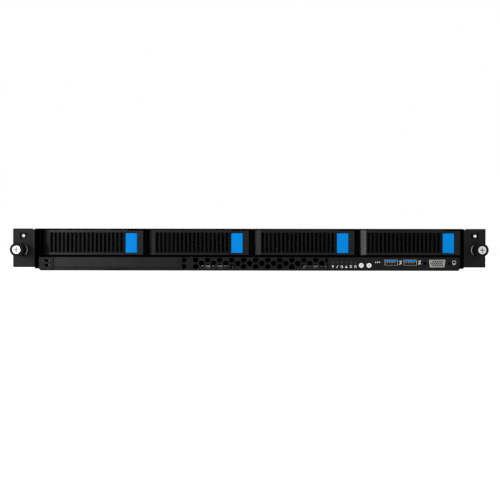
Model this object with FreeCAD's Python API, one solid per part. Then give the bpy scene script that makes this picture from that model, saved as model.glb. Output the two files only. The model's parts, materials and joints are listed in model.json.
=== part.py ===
import FreeCAD, Part
import math
import os

# A one-unit rack server with four drive carriers over a low connector row.
# Millimetres. +Z is up, the front faces -Y, and +X is to the right seen from the front.
# The drawing below has y = 0 at the front face; every piece is moved to the base centre at the end.

V = FreeCAD.Vector
ALONG_X = V(1, 0, 0)
ALONG_Y = V(0, 1, 0)
ALONG_Z = V(0, 0, 1)

# Sheet metal
sheet = 1.2
cover_sheet = 0.8
shelf_sheet = 0.8
divider_sheet = 1.2
corner_step = 5.5
corner_rise = 2.0

# Clearances, how far a cut runs past what it cuts, and how far a joined piece is let in
fit_gap = 0.3
slide_gap = 0.2
running_gap = 0.05
edge_gap = 0.1
past = 1.0
let_in = 1.0

# Drives and drive bays
bay_count = 4
drive_width = 101.6
drive_length = 147.0
drive_height = 25.4
drive_under_gap = 0.9
drive_over_gap = 0.4
divider_gap = 3.9
divider_offset = 0.4
divider_hem = 1.8
divider_hem_depth = 6.0
divider_setback = 0.6
left_room = 6.5
right_room = 3.8
mating_gap = 11.0
drive_lid = 1.2
drive_board = 1.6
drive_border = 3.0
drive_recess_radius = 14.5
drive_recess_depth = 0.6
drive_plug_from_left = 8.5
drive_plug_width = 40.6
drive_plug_sheet = 1.2
drive_plug_length = 5.5

# Backplane
backplane_socket_wall = 2.0
backplane_window_edge = 5.0
backplane_window_gap = 6.0
backplane_window_post = 8.0
backplane_window_side = 8.0

# Carrier
rail_wall = 1.2
rail_height = 13.0
rail_tail = 3.0
carrier_wall = 1.6
carrier_under_gap = 0.8
carrier_over_gap = 0.6
carrier_depth = 12.5
carrier_mesh_sheet = 1.5
mesh_hex = 3.6
mesh_bar = 0.8
light_radius = 0.8
light_from_right = 2.8
light_low = 6.6
light_high = 17.0
end_drop = 0.7
crossbar_width = 12.0
crossbar_sheet = 0.5
rail_screw_radius = 1.6

# Carrier lever
strip_width = 8.2
strip_slant = 5.0
strip_setback = 0.4
lever_plate = 2.2
lever_lip = 2.4
lever_rib = 2.8
lever_rib_sheet = 1.2
slot_width = 2.4
slot_pitch = 4.2
slot_from_left = 9.5
slot_end_room = 1.6
slot_bottom_rail = 2.6
slot_top_rail = 2.5
pivot_back = 7.5
pivot_pin_radius = 1.2
knuckle_radius = 2.6
ledge_radius = 4.2
ledge_sheet = 1.6
lever_swing_room = 6.0
catch_length = 5.8
catch_sheet = 1.6
catch_height = 5.0

# Release tab
tab_width = 11.7
tab_low = 1.9
tab_over = 3.3
tab_from_right = 6.1
tab_proud = 0.4
tab_depth = 7.9
tab_travel = 1.5
tab_spring_room = 1.5
tab_edge = 0.6

# Lower row
panel_edge = 0.1
bracket_width = 15.2
blank_width = 127.2
panel_gap = 0.5
io_width = 134.0
bracket_inset = 4.0
panel_return = 5.0
vent_pitch = 7.08
vent_hex = 5.4
vent_low = 1.9
vent_over = 1.5
vent_left_border = 3.4
vent_right_border = 0.8
vent_cell_from_left = 5.1
vent_closed_column = 1
vent_rib_sheet = 1.2
vent_rib_from_left = 78.1
vent_rib_pitch = 34.0
vent_rib_length = 36.0
blank_groove_height = 3.5
blank_groove_width = 0.8
blank_groove_depth = 0.5
blank_notch_from_left = 52.3
blank_notch_width = 25.0
blank_notch_height = 1.6
bracket_hole_width = 6.0
bracket_hole_height = 2.3
bracket_hole_slope = 1.0
bracket_hole_low = 4.3
bracket_hole_pitch = 4.7

# Front connector panel, places measured from its left edge
light_count = 6
light_from_left = 4.3
light_pitch = 4.6
light_height = 8.7
status_radius = 0.85
power_from_left = 33.3
identify_from_left = 41.3
button_height = 5.6
button_radius = 2.45
button_gap = 0.15
button_proud = 0.6
button_flange = 3.2
button_flange_sheet = 1.0
button_travel = 0.8
button_stem_radius = 1.0
reset_from_left = 50.1
reset_height = 3.5
reset_hole_radius = 0.65
reset_radius = 1.2
usb_width = 13.1
usb_height = 5.7
usb_depth = 14.0
usb_wall = 0.3
usb_from_left = 63.9
usb_pitch = 19.4
usb_centre_height = 8.6
usb_tongue_side_gap = 0.85
usb_tongue_sheet = 1.8
usb_tongue_setback = 1.4
vga_from_left = 110.8
vga_width = 16.5
vga_height = 7.5
vga_slope = 1.0
vga_wall = 0.5
vga_depth = 10.0
vga_hole_radius = 0.5
vga_hole_side = 2.5
vga_columns = 5
vga_rows = 3
vga_row_pitch = 1.9
jackscrew_spacing = 25.0
jackscrew_radius = 1.42
jackscrew_flange = 15.5
socket_proud = 0.3
io_board_depth = 46.0
io_standoff = 1.65
circuit_board = 1.6
switch_half = 3.4
switch_front = 6.0
switch_depth = 6.0
stem_reach = 8.5

# Rack ears and captive thumbscrews
ear_width = 22.3
ear_sheet = 2.0
ear_flange_sheet = 1.6
ear_flange_length = 44.0
ear_bottom = 3.4
ear_chamfer = 0.5
ear_flange_inset = 2.0
ear_relief_width = 2.2
ear_relief_depth = 0.8
window_width = 7.9
window_height = 5.5
window_from_body = 11.0
window_drop = 7.4
latch_plate_sheet = 1.0
latch_plate_border = 2.0
latch_pin_radius = 1.45
latch_pin_shift = 0.7
latch_pin_length = 1.5
screw_from_body = 13.55
screw_drop = 21.7
screw_radius = 2.5
screw_reach = 16.0
screw_travel = 5.0
ferrule_radius = 6.3
ferrule_flange = 1.5
ferrule_shank_radius = 3.95
ferrule_clearance = 0.1
knob_radius = 6.8
knob_length = 16.0
knob_teeth = 30
knob_tooth = 0.3
knob_collar_radius = 5.2
knob_collar_length = 2.3
head_radius = 4.4
head_proud = 0.6
head_sheet = 2.4
cross_length = 5.0
cross_width = 1.1
cross_depth = 1.4
retainer_radius = 3.6
retainer_sheet = 0.8
groove_radius = 2.0

# Fans
fan_count = 4
fan_pitch = 100.0
fan_depth = 28.0
fan_room = 14.0
duct_border = 1.4
blade_gap = 0.7
blade_count = 7
blade_sheet = 1.1
blade_pitch_degrees = 38.0
hub_radius = 9.5
axle_radius = 1.5
bearing_radius = 10.0
bearing_sheet = 3.0
strut_width = 2.4
rotor_share = 0.8
fan_screw_radius = 2.1
fan_screw_inset = 4.2
wall_window_width = 36.0
wall_window_height = 10.0

# Main board
cable_room = 90.8
board_length = 326.0
board_rear_gap = 2.8
board_side_gap = 4.0
standoff_height = 6.0
standoff_radius = 3.0
standoff_inset = 8.0
socket_centre_back = 96.0
processor_width = 45.0
processor_length = 50.0
processor_height = 3.4
sink_width = 60.0
sink_length = 90.0
sink_base = 3.0
sink_side_room = 4.0
fin_sheet = 0.8
fin_pitch = 3.2
lid_gap = 1.4
module_length = 133.4
module_sheet = 1.3
module_chip_sheet = 0.9
module_pitch = 9.5
module_group = 4
module_socket_width = 6.5
module_socket_end = 4.3
module_socket_height = 6.0
module_seat = 2.0
module_chip_inset = 3.0
module_chip_count = 9
module_chip_share = 0.7
chipset_size = 40.0
chipset_height = 12.0
chipset_from_back = 56.0

# Rear connectors, places measured from the left edge of the main board
jack_width = 16.0
jack_height = 13.6
jack_depth = 21.0
jack_wall = 2.1
jack_mouth_height = 8.6
jack_mouth_depth = 14.0
jack_from_left = 14.0
jack_pitch = 18.0
jack_count = 3
stack_from_left = 70.0
stack_width = 14.5
stack_height = 15.8
stack_depth = 18.0
stack_mouth_height = 5.2
stack_mouth_width = 12.4
stack_pitch = 7.2
rear_video_from_left = 96.0
rear_slot_width = 2.6
rear_slot_height = 12.0
rear_slot_pitch = 5.2
rear_slot_from_left = 120.0
rear_slot_end_room = 15.0
rear_slot_drop = 4.0

# Power supplies
supply_count = 2
supply_width = 73.5
supply_length = 185.0
supply_spacing = 0.6
supply_lid_gap = 0.9
supply_fan_border = 2.5
supply_duct_radius = 17.0
supply_duct_depth = 26.0
supply_guard = 1.2
supply_rotor_length = 12.0
supply_hub_radius = 8.0
guard_ring_inner_radius = 4.5
guard_ring_width = 2.6
guard_ring_pitch = 4.2
guard_ring_count = 3
guard_bar = 2.0
inlet_from_left = 57.2
inlet_width = 24.2
inlet_height = 18.4
inlet_depth = 16.0
inlet_low = 4.0
inlet_pin_width = 2.0
inlet_pin_height = 4.0
inlet_pin_length = 12.0
inlet_pin_spacing = 14.0
inlet_pin_step = 5.0
handle_from_left = 39.8
handle_bar = 4.0
handle_low = 5.0
handle_height = 30.0
handle_reach = 22.0
latch_width = 5.0
latch_height = 9.0
latch_travel = 2.0
latch_low = 26.5
latch_inside = 8.0
latch_reach = 10.0
latch_from_right = 1.0
supply_sheet = 1.0
supply_block_length = 32.0
supply_board_height = 4.0
supply_vent_width = 3.0
supply_vent_pitch = 6.0
supply_vent_count = 5
power_board_length = 42.0
power_socket_wall = 3.0
power_standoff_inset = 12.0
finger_width = 35.0
finger_length = 8.0

# Top cover and rail holes
cover_skirt_sheet = 0.8
cover_skirt_height = 6.0
cover_skirt_setback = 18.0
rail_hole_count = 4
rail_hole_radius = 2.2
rail_hole_first = 90.0
rail_hole_pitch = 160.0
rail_hole_height = 21.5
cover_screw_radius = 1.6
cover_screw_seat_radius = 2.9
cover_screw_seat_depth = 0.5
cover_screw_from_side = 11.0
cover_screw_from_seam = 9.0

# Widths that follow
bezel_width = drive_width + 2 * rail_wall
bay_pitch = bezel_width + divider_gap
body_width = left_room + bay_count * bay_pitch - divider_gap + right_room
half_width = body_width / 2
wall_inside = half_width - sheet
floor_half = half_width - corner_step
floor_inside = floor_half - sheet
first_bay = -half_width + left_room
lever_length = bezel_width - tab_from_right - tab_width - divider_offset
slot_count = int((lever_length - slot_end_room - slot_from_left - slot_width) / slot_pitch) + 1

# Heights that follow: the lower row holds a USB socket, the board over it and the standoffs
io_board_bottom = usb_centre_height + usb_height / 2
io_board_top = io_board_bottom + circuit_board
row_height = io_board_top + io_standoff
vga_centre_height = io_board_bottom - edge_gap - vga_height / 2
vent_high = row_height - vent_over
vent_centre_height = (vent_low + vent_high) / 2
shelf_top = row_height + shelf_sheet
drive_bottom = shelf_top + drive_under_gap
drive_top = drive_bottom + drive_height
cover_bottom = drive_top + drive_over_gap
body_height = cover_bottom + cover_sheet
bezel_bottom = shelf_top + carrier_under_gap
bezel_top = cover_bottom - carrier_over_gap
tab_height = bezel_top - bezel_bottom - tab_low - tab_over
rail_bottom = shelf_top + slide_gap
board_bottom = sheet + standoff_height
board_top = board_bottom + circuit_board

# Depths that follow
frame_front = pivot_back + lever_swing_room
drive_front = frame_front + carrier_depth
drive_back = drive_front + drive_length
backplane_front = drive_back + mating_gap
backplane_back = backplane_front + circuit_board
fan_front = backplane_back + fan_room
fan_back = fan_front + fan_depth
board_front = fan_back + sheet + cable_room
board_back = board_front + board_length
rear_inside = board_back + board_rear_gap
body_depth = rear_inside + sheet

# Lower row: the vent fills what the other panels leave
bracket_left = -half_width + bracket_inset
blank_left = bracket_left + bracket_width + panel_gap
vent_left = blank_left + blank_width
io_right = half_width - bracket_inset
io_left = io_right - io_width
vent_width = io_left - vent_left
vent_rib_count = int((vent_width - vent_rib_from_left - sheet) / vent_rib_pitch)
usb_tongue_width = usb_width - 2 * usb_tongue_side_gap
vga_hole_pitch = (vga_width - 2 * vga_hole_side) / vga_columns

# Ear places
screw_x = half_width + screw_from_body
screw_z = body_height - screw_drop
window_x = half_width + window_from_body
window_z = body_height - window_drop
knob_front = -(ferrule_flange + slide_gap + knob_collar_length + knob_length)

# Fans
fan_size = cover_bottom - sheet - 2 * fit_gap
fan_centre_z = sheet + fit_gap + fan_size / 2
duct_radius = fan_size / 2 - duct_border

# Power supplies and the board beside them
supply_left = -floor_inside + fit_gap
supply_bottom = sheet + slide_gap
supply_top = cover_bottom - supply_lid_gap
supply_pitch = supply_width + supply_spacing
supplies_right = supply_left + supply_count * supply_pitch - supply_spacing
board_left = supplies_right + board_side_gap
board_right = floor_inside - fit_gap
board_centre = (board_left + board_right) / 2
module_span = module_group * module_pitch
module_socket_length = module_length + 2 * module_socket_end
processor_spacing = sink_width + module_span + 2 * sink_side_room
rear_slot_count = int((board_right - board_left - rear_slot_from_left - rear_slot_end_room)
                      / rear_slot_pitch)
supply_front = body_depth - supply_length
power_board_back = supply_front - fit_gap
power_board_front = power_board_back - power_board_length

# The base centre of the whole object
front_end = knob_front - head_proud
rear_end = body_depth + handle_reach
middle_y = (front_end + rear_end) / 2


def box(x0, x1, y0, y1, z0, z1):
    return Part.makeBox(x1 - x0, y1 - y0, z1 - z0, V(x0, y0, z0))


def rod(radius, x, y0, y1, z):
    # A round bar that runs from front to back
    return Part.makeCylinder(radius, y1 - y0, V(x, y0, z), ALONG_Y)


def post(radius, x, y, z0, z1):
    # A round bar that stands upright
    return Part.makeCylinder(radius, z1 - z0, V(x, y, z0), ALONG_Z)


def joined(first, *others):
    return first.multiFuse(list(others)).removeSplitter()


def closed_wire(corners):
    return Part.makePolygon(corners + [corners[0]])


def front_wire(corners, y):
    return closed_wire([V(x, y, z) for x, z in corners])


def round_wire(x, z, radius, y):
    return Part.Wire(Part.makeCircle(radius, V(x, y, z), ALONG_Y))


def rectangle(x0, x1, z0, z1):
    return [(x0, z0), (x1, z0), (x1, z1), (x0, z1)]


def front_plate(outline, holes, y, thick):
    # A sheet that faces the front: an outline with wires cut out of it
    face = Part.makeFace([front_wire(outline, y)] + holes, "Part::FaceMakerBullseye")
    return face.extrude(V(0, thick, 0))


def upright(corners, z0, z1):
    # A shape drawn from above and raised between two heights
    face = Part.Face(closed_wire([V(x, y, z0) for x, y in corners]))
    return face.extrude(V(0, 0, z1 - z0))


def moved(shape, x=0.0, y=0.0, z=0.0):
    copy = shape.copy()
    copy.translate(V(x, y, z))
    return copy


def hexagon(x, z, across):
    # Flat edges at the top and bottom
    reach = across / math.sqrt(3)
    return [(x + reach * math.cos(math.radians(60 * k)), z + reach * math.sin(math.radians(60 * k)))
            for k in range(6)]


def trimmed(corners, axis, limit, sign):
    # Keeps the part of a convex outline that lies on one side of a limit, across (0) or up (1)
    kept = []
    for a, b in zip(corners, corners[1:] + corners[:1]):
        a_inside = sign * (a[axis] - limit) > 0
        b_inside = sign * (b[axis] - limit) > 0
        if a_inside:
            kept.append(a)
        if a_inside != b_inside:
            share = (limit - a[axis]) / (b[axis] - a[axis])
            kept.append((a[0] + share * (b[0] - a[0]), a[1] + share * (b[1] - a[1])))
    return kept


def bay_x(bay):
    return first_bay + bay * bay_pitch


def chassis_tray():
    pieces = [box(-floor_half, floor_half, sheet, body_depth, 0, sheet)]
    for side in (-1, 1):
        x_riser = sorted((side * floor_inside, side * floor_half))
        x_step = sorted((side * floor_inside, side * half_width))
        x_wall = sorted((side * wall_inside, side * half_width))
        pieces.append(box(*x_riser, sheet, body_depth, 0, corner_rise + sheet))
        pieces.append(box(*x_step, sheet, body_depth, corner_rise, corner_rise + sheet))
        pieces.append(box(*x_wall, 0, body_depth, corner_rise, cover_bottom))
    for x in (board_left + standoff_inset, board_centre, board_right - standoff_inset):
        for y in (board_front + standoff_inset, (board_front + board_back) / 2,
                  board_back - standoff_inset):
            pieces.append(post(standoff_radius, x, y, sheet, board_bottom))
    for x in (supply_left + power_standoff_inset, supplies_right - power_standoff_inset):
        for y in (power_board_front + power_standoff_inset, power_board_back - power_standoff_inset):
            pieces.append(post(standoff_radius, x, y, sheet, board_bottom))
    tray = joined(*pieces)
    holes = []
    for index in range(rail_hole_count):
        y = rail_hole_first + index * rail_hole_pitch
        holes.append(Part.makeCylinder(rail_hole_radius, body_width + 2 * past,
                                       V(-half_width - past, y, rail_hole_height), ALONG_X))
    return tray.cut(Part.makeCompound(holes))


def supply_opening():
    return rectangle(supply_left - slide_gap, supplies_right + slide_gap,
                     sheet + edge_gap, supply_top + slide_gap)


def rear_panel():
    outline = [(-floor_inside, sheet), (floor_inside, sheet),
               (floor_inside, corner_rise + sheet), (wall_inside, corner_rise + sheet),
               (wall_inside, cover_bottom), (-wall_inside, cover_bottom),
               (-wall_inside, corner_rise + sheet), (-floor_inside, corner_rise + sheet)]
    holes = [front_wire(supply_opening(), rear_inside)]
    for x, width, height in rear_sockets():
        holes.append(front_wire(rectangle(x - width / 2 - fit_gap, x + width / 2 + fit_gap,
                                          board_top - fit_gap, board_top + height + fit_gap),
                                rear_inside))
    for index in range(rear_slot_count):
        x = board_left + rear_slot_from_left + index * rear_slot_pitch
        top = cover_bottom - rear_slot_drop
        holes.append(front_wire(rectangle(x, x + rear_slot_width, top - rear_slot_height, top),
                                rear_inside))
    return front_plate(outline, holes, rear_inside, sheet)


def drive_cage():
    pieces = [box(-wall_inside, wall_inside, sheet + slide_gap, backplane_back, row_height, shelf_top)]
    wall_top = cover_bottom - slide_gap
    left = first_bay - divider_offset
    right = bay_x(bay_count - 1) + bezel_width + divider_offset
    pieces.append(box(left - divider_sheet, left, divider_setback, backplane_front,
                      row_height, wall_top))
    pieces.append(box(right, right + divider_sheet, divider_setback, backplane_front,
                      row_height, wall_top))
    for bay in range(1, bay_count):
        x = bay_x(bay) - divider_offset
        hem_end = divider_setback + divider_hem_depth
        pieces.append(box(x - divider_sheet, x, divider_setback, backplane_front,
                          row_height, wall_top))
        pieces.append(box(x - divider_hem, x, divider_setback, hem_end, row_height, wall_top))
    # Webs under the shelf: beside the blank, beside the connector panel and behind the vent
    web_front = sheet + slide_gap
    web_back = web_front + blank_width
    pieces.append(box(vent_left, vent_left + sheet, web_front, web_back, sheet, shelf_top))
    pieces.append(box(io_left - sheet, io_left, web_front, web_back, sheet, shelf_top))
    for index in range(vent_rib_count):
        x = vent_left + vent_rib_from_left + index * vent_rib_pitch
        pieces.append(box(x, x + vent_rib_sheet, web_front, web_front + vent_rib_length,
                          sheet, shelf_top))
    cage = joined(*pieces)
    notches = []
    for bay in range(1, bay_count):
        x = bay_x(bay) - divider_offset
        for low in (bezel_bottom + sheet, bezel_top - 2 * divider_hem):
            notches.append(box(x - divider_hem - past, x - divider_hem / 2, 0,
                               divider_setback + divider_hem, low, low + divider_hem))
    return cage.cut(Part.makeCompound(notches))


def cover_screw_seat(x, y):
    # A hole through a cover with a cone on top that takes a flat screw head
    hole = post(cover_screw_radius, x, y, cover_bottom - past, body_height + past)
    cone = Part.makeCone(cover_screw_radius, cover_screw_seat_radius, cover_screw_seat_depth,
                         V(x, y, body_height - cover_screw_seat_depth), ALONG_Z)
    return hole.fuse(cone)


def front_top_cover():
    cover = box(-half_width, half_width, 0, fan_front, cover_bottom, body_height)
    side = half_width - cover_screw_from_side
    seats = [cover_screw_seat(x, y) for x in (-side, 0, side)
             for y in (cover_screw_from_side, fan_front - cover_screw_from_seam)]
    return cover.cut(Part.makeCompound(seats))


def top_cover():
    pieces = [box(-half_width, half_width, fan_front, body_depth, cover_bottom, body_height)]
    for side in (-1, 1):
        outer = wall_inside - slide_gap
        x_range = sorted((side * (outer - cover_skirt_sheet), side * outer))
        pieces.append(box(*x_range, fan_front + cover_sheet, rear_inside - cover_skirt_setback,
                          cover_bottom - cover_skirt_height, cover_bottom))
    return joined(*pieces)


def ear(side):
    inner = half_width
    outer = half_width + ear_width
    relief_low = body_height - ear_relief_depth
    outline = [(inner, ear_bottom), (outer, ear_bottom), (outer, body_height - ear_chamfer),
               (outer - ear_chamfer, body_height), (inner + ear_relief_width, body_height),
               (inner + ear_relief_width, relief_low), (inner, relief_low)]
    window = rectangle(window_x - window_width / 2, window_x + window_width / 2,
                       window_z - window_height / 2, window_z + window_height / 2)
    holes = [front_wire([(side * x, z) for x, z in window], 0),
             round_wire(side * screw_x, screw_z, ferrule_shank_radius + running_gap, 0)]
    plate = front_plate([(side * x, z) for x, z in outline], holes, 0, ear_sheet)
    x_range = sorted((side * inner, side * (inner + ear_flange_sheet)))
    flange = box(*x_range, ear_sheet / 2, ear_flange_length, ear_bottom + ear_flange_inset,
                 body_height - ear_flange_inset)
    return joined(plate, flange)


def ear_latch_plates():
    plates = []
    for side in (-1, 1):
        x = side * window_x
        wide = window_width / 2 + latch_plate_border
        high = window_height / 2 + latch_plate_border
        plate = box(x - wide, x + wide, ear_sheet, ear_sheet + latch_plate_sheet,
                    window_z - high, window_z + high)
        pin = rod(latch_pin_radius, x + side * latch_pin_shift, ear_sheet - latch_pin_length,
                  ear_sheet + latch_plate_sheet / 2, window_z)
        plates.append(joined(plate, pin))
    return Part.makeCompound(plates)


def screw_ferrules():
    ferrules = []
    for side in (-1, 1):
        x = side * screw_x
        flange = rod(ferrule_radius, x, -ferrule_flange, 0, screw_z)
        shank = rod(ferrule_shank_radius, x, -ferrule_flange / 2, ear_sheet, screw_z)
        bore = rod(screw_radius + ferrule_clearance, x, -ferrule_flange - past, ear_sheet + past,
                   screw_z)
        ferrules.append(joined(flange, shank).cut(bore))
    return Part.makeCompound(ferrules)


def retainer_front():
    # The ring stops against the back of the ear when the screw is fully out
    return ear_sheet + screw_travel + fit_gap


def thumbscrew(side):
    x = side * screw_x
    head_back = knob_front + head_sheet
    shaft = rod(screw_radius, x, head_back - edge_gap, screw_reach, screw_z)
    head = rod(head_radius, x, knob_front - head_proud, head_back, screw_z)
    cross = [box(x - a / 2, x + a / 2, knob_front - head_proud - past,
                 knob_front - head_proud + cross_depth, screw_z - b / 2, screw_z + b / 2)
             for a, b in ((cross_length, cross_width), (cross_width, cross_length))]
    y = retainer_front() - edge_gap
    groove = rod(screw_radius + past, x, y, y + retainer_sheet + 2 * edge_gap, screw_z)
    groove = groove.cut(rod(groove_radius, x, y - past, y + retainer_sheet + 2 * past, screw_z))
    return joined(shaft, head).cut(Part.makeCompound(cross + [groove]))


def screw_knob(side):
    # Black grip with a knurled edge, pressed over the screw and its head
    x = side * screw_x
    count = 2 * knob_teeth
    outline = []
    for index in range(count):
        radius = knob_radius - knob_tooth * (index % 2)
        angle = 2 * math.pi * index / count
        outline.append((x + radius * math.cos(angle), screw_z + radius * math.sin(angle)))
    grip = front_plate(outline, [], knob_front, knob_length)
    grip_back = knob_front + knob_length
    collar = rod(knob_collar_radius, x, grip_back - let_in, grip_back + knob_collar_length, screw_z)
    head_seat = rod(head_radius, x, knob_front - past, knob_front + head_sheet, screw_z)
    shaft_seat = rod(screw_radius, x, knob_front, grip_back + knob_collar_length + past, screw_z)
    return joined(grip, collar).cut(Part.makeCompound([head_seat, shaft_seat]))


def screw_retainer(side):
    x = side * screw_x
    y = retainer_front()
    ring = rod(retainer_radius, x, y, y + retainer_sheet, screw_z)
    return ring.cut(rod(groove_radius + running_gap, x, y - past, y + retainer_sheet + past,
                        screw_z))


def front_left_bracket():
    left = bracket_left
    right = bracket_left + bracket_width
    top = row_height - panel_edge
    outline = [(left, corner_rise), (-floor_half, panel_edge), (right, panel_edge),
               (right, top), (left, top)]
    holes = []
    for index in range(2):
        low = bracket_hole_low + index * bracket_hole_pitch
        x0 = (left + right - bracket_hole_width) / 2 + bracket_hole_slope
        x1 = x0 + bracket_hole_width
        corners = [(x0 + bracket_hole_slope, low), (x1 - bracket_hole_slope, low),
                   (x1, low + bracket_hole_height), (x0, low + bracket_hole_height)]
        holes.append(front_wire(corners, 0))
    plate = front_plate(outline, holes, 0, sheet)
    flange = box(right - sheet, right, sheet / 2, sheet + panel_return, sheet + edge_gap, top)
    return joined(plate, flange)


def slim_bay_blank():
    left = blank_left
    right = blank_left + blank_width - edge_gap
    top = row_height - panel_edge
    face = box(left, right, 0, sheet, panel_edge, top)
    rim = box(left, right, sheet / 2, sheet + panel_return, sheet + edge_gap, top)
    groove = box(left - past, right + past, -past, blank_groove_depth,
                 blank_groove_height - blank_groove_width / 2,
                 blank_groove_height + blank_groove_width / 2)
    notch_left = left + blank_notch_from_left
    notch = box(notch_left, notch_left + blank_notch_width, -past, sheet + panel_return / 2,
                -past, blank_notch_height)
    hollow = box(left + sheet, right - sheet, 2 * sheet, sheet + panel_return + past,
                 2 * sheet + blank_notch_height, top - sheet)
    return joined(face, rim).cut(Part.makeCompound([groove, notch, hollow]))


def vent_cells():
    # Columns of cells half a pitch up and down in turn, trimmed by the border of the panel
    column = vent_pitch * math.sqrt(3) / 2
    left = vent_left + vent_left_border
    right = vent_left + vent_width - vent_right_border
    cells = []
    for index in range(int((vent_width - vent_right_border - vent_cell_from_left) / column) + 1):
        if index == vent_closed_column:
            continue
        x = vent_left + vent_cell_from_left + index * column
        shift = vent_pitch / 2
        heights = [vent_centre_height] if index % 2 else [vent_centre_height - shift,
                                                          vent_centre_height + shift]
        for z in heights:
            cell = hexagon(x, z, vent_hex)
            for axis, limit, sign in ((1, vent_low, 1), (1, vent_high, -1), (0, left, 1),
                                      (0, right, -1)):
                cell = trimmed(cell, axis, limit, sign)
            if cell:
                cells.append(cell)
    return cells


def vent_panel():
    outline = rectangle(vent_left, io_left - edge_gap, panel_edge, row_height - panel_edge)
    holes = [front_wire(cell, 0) for cell in vent_cells()]
    return front_plate(outline, holes, 0, sheet)


def usb_x(index):
    return io_left + usb_from_left + index * usb_pitch


def video_outline(x, z, grow):
    # A socket outline with four sides, narrower at the bottom
    wide = vga_width / 2 + grow
    low = wide - vga_slope
    high = vga_height / 2 + grow
    return [(x - low, z - high), (x + low, z - high), (x + wide, z + high), (x - wide, z + high)]


def io_panel():
    top = row_height - panel_edge
    outline = [(io_left, panel_edge), (floor_half, panel_edge), (io_right, corner_rise),
               (io_right, top), (io_left, top)]
    holes = []
    for index in range(light_count):
        x = io_left + light_from_left + index * light_pitch
        holes.append(round_wire(x, light_height, status_radius + edge_gap, 0))
    for x in (power_from_left, identify_from_left):
        holes.append(round_wire(io_left + x, button_height, button_radius + button_gap, 0))
    holes.append(round_wire(io_left + reset_from_left, reset_height, reset_hole_radius, 0))
    for index in range(2):
        wide = usb_width / 2 + edge_gap
        high = usb_height / 2 + edge_gap
        x = usb_x(index)
        holes.append(front_wire(rectangle(x - wide, x + wide, usb_centre_height - high,
                                          usb_centre_height + high), 0))
    x = io_left + vga_from_left
    holes.append(front_wire(video_outline(x, vga_centre_height, edge_gap), 0))
    for side in (-1, 1):
        holes.append(round_wire(x + side * jackscrew_spacing / 2, vga_centre_height,
                                jackscrew_radius, 0))
    return front_plate(outline, holes, 0, sheet)


def socket_shells():
    shells = []
    for index in range(2):
        x = usb_x(index)
        low = usb_centre_height - usb_height / 2
        high = usb_centre_height + usb_height / 2
        outer = box(x - usb_width / 2, x + usb_width / 2, -socket_proud, usb_depth, low, high)
        inner = box(x - usb_width / 2 + usb_wall, x + usb_width / 2 - usb_wall, -socket_proud - past,
                    usb_depth - usb_wall, low + usb_wall, high - usb_wall)
        shells.append(outer.cut(inner))
    x = io_left + vga_from_left
    outer = front_plate(video_outline(x, vga_centre_height, 0), [], -socket_proud,
                        vga_depth + socket_proud)
    flange = box(x - jackscrew_flange, x + jackscrew_flange, sheet, 2 * sheet,
                 sheet + fit_gap, io_board_bottom - edge_gap)
    inner = front_plate(video_outline(x, vga_centre_height, -vga_wall), [], -socket_proud - past,
                        vga_depth + socket_proud + 2 * past)
    holes = [rod(jackscrew_radius, x + side * jackscrew_spacing / 2, 0, 3 * sheet,
                 vga_centre_height) for side in (-1, 1)]
    shells.append(joined(outer, flange).cut(Part.makeCompound([inner] + holes)))
    return Part.makeCompound(shells)


def socket_inserts():
    # In each USB socket a thin tongue in the upper half with a block behind it,
    # and in the video socket a block with three rows of contact holes
    tongues = []
    for index in range(2):
        x = usb_x(index)
        top = usb_centre_height + usb_height / 2 - usb_wall
        bottom = usb_centre_height - usb_height / 2 + usb_wall
        back = usb_depth - usb_wall
        block_front = back - usb_height / 2
        tongue_top = top - usb_wall
        tongue = box(x - usb_tongue_width / 2, x + usb_tongue_width / 2, usb_tongue_setback,
                     back, tongue_top - usb_tongue_sheet, tongue_top)
        block = box(x - usb_width / 2 + usb_wall, x + usb_width / 2 - usb_wall, block_front,
                    back, bottom, top)
        tongues.append(joined(tongue, block))
    return Part.makeCompound(tongues + [video_insert()])


def video_insert():
    x = io_left + vga_from_left
    body = front_plate(video_outline(x, vga_centre_height, -vga_wall), [], vga_wall,
                       vga_depth - vga_wall)
    holes = []
    for row in range(vga_rows):
        z = vga_centre_height + (row - (vga_rows - 1) / 2) * vga_row_pitch
        shift = vga_hole_pitch / 4 * (-1 if row % 2 else 1)
        for column in range(vga_columns):
            hole_x = x + (column - (vga_columns - 1) / 2) * vga_hole_pitch + shift
            holes.append(rod(vga_hole_radius, hole_x, 0, vga_depth / 2, z))
    return body.cut(Part.makeCompound(holes))


def status_lights():
    first = io_left + light_from_left
    last = first + (light_count - 1) * light_pitch
    block_front = switch_front - sheet
    block = box(first - status_radius, last + status_radius, block_front,
                block_front + switch_depth, light_height - 2 * status_radius, io_board_bottom)
    rods = [rod(status_radius, first + index * light_pitch, edge_gap, block_front + let_in,
                light_height)
            for index in range(light_count)]
    return joined(block, *rods)


def push_button(from_left):
    x = io_left + from_left
    flange_front = sheet + fit_gap
    cap = rod(button_radius, x, -button_proud, flange_front + edge_gap, button_height)
    flange = rod(button_flange, x, flange_front, flange_front + button_flange_sheet, button_height)
    stem = rod(button_stem_radius, x, flange_front, stem_reach, button_height)
    return joined(cap, flange, stem)


def reset_button():
    x = io_left + reset_from_left
    return rod(reset_radius, x, 2 * sheet, stem_reach, reset_height)


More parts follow.
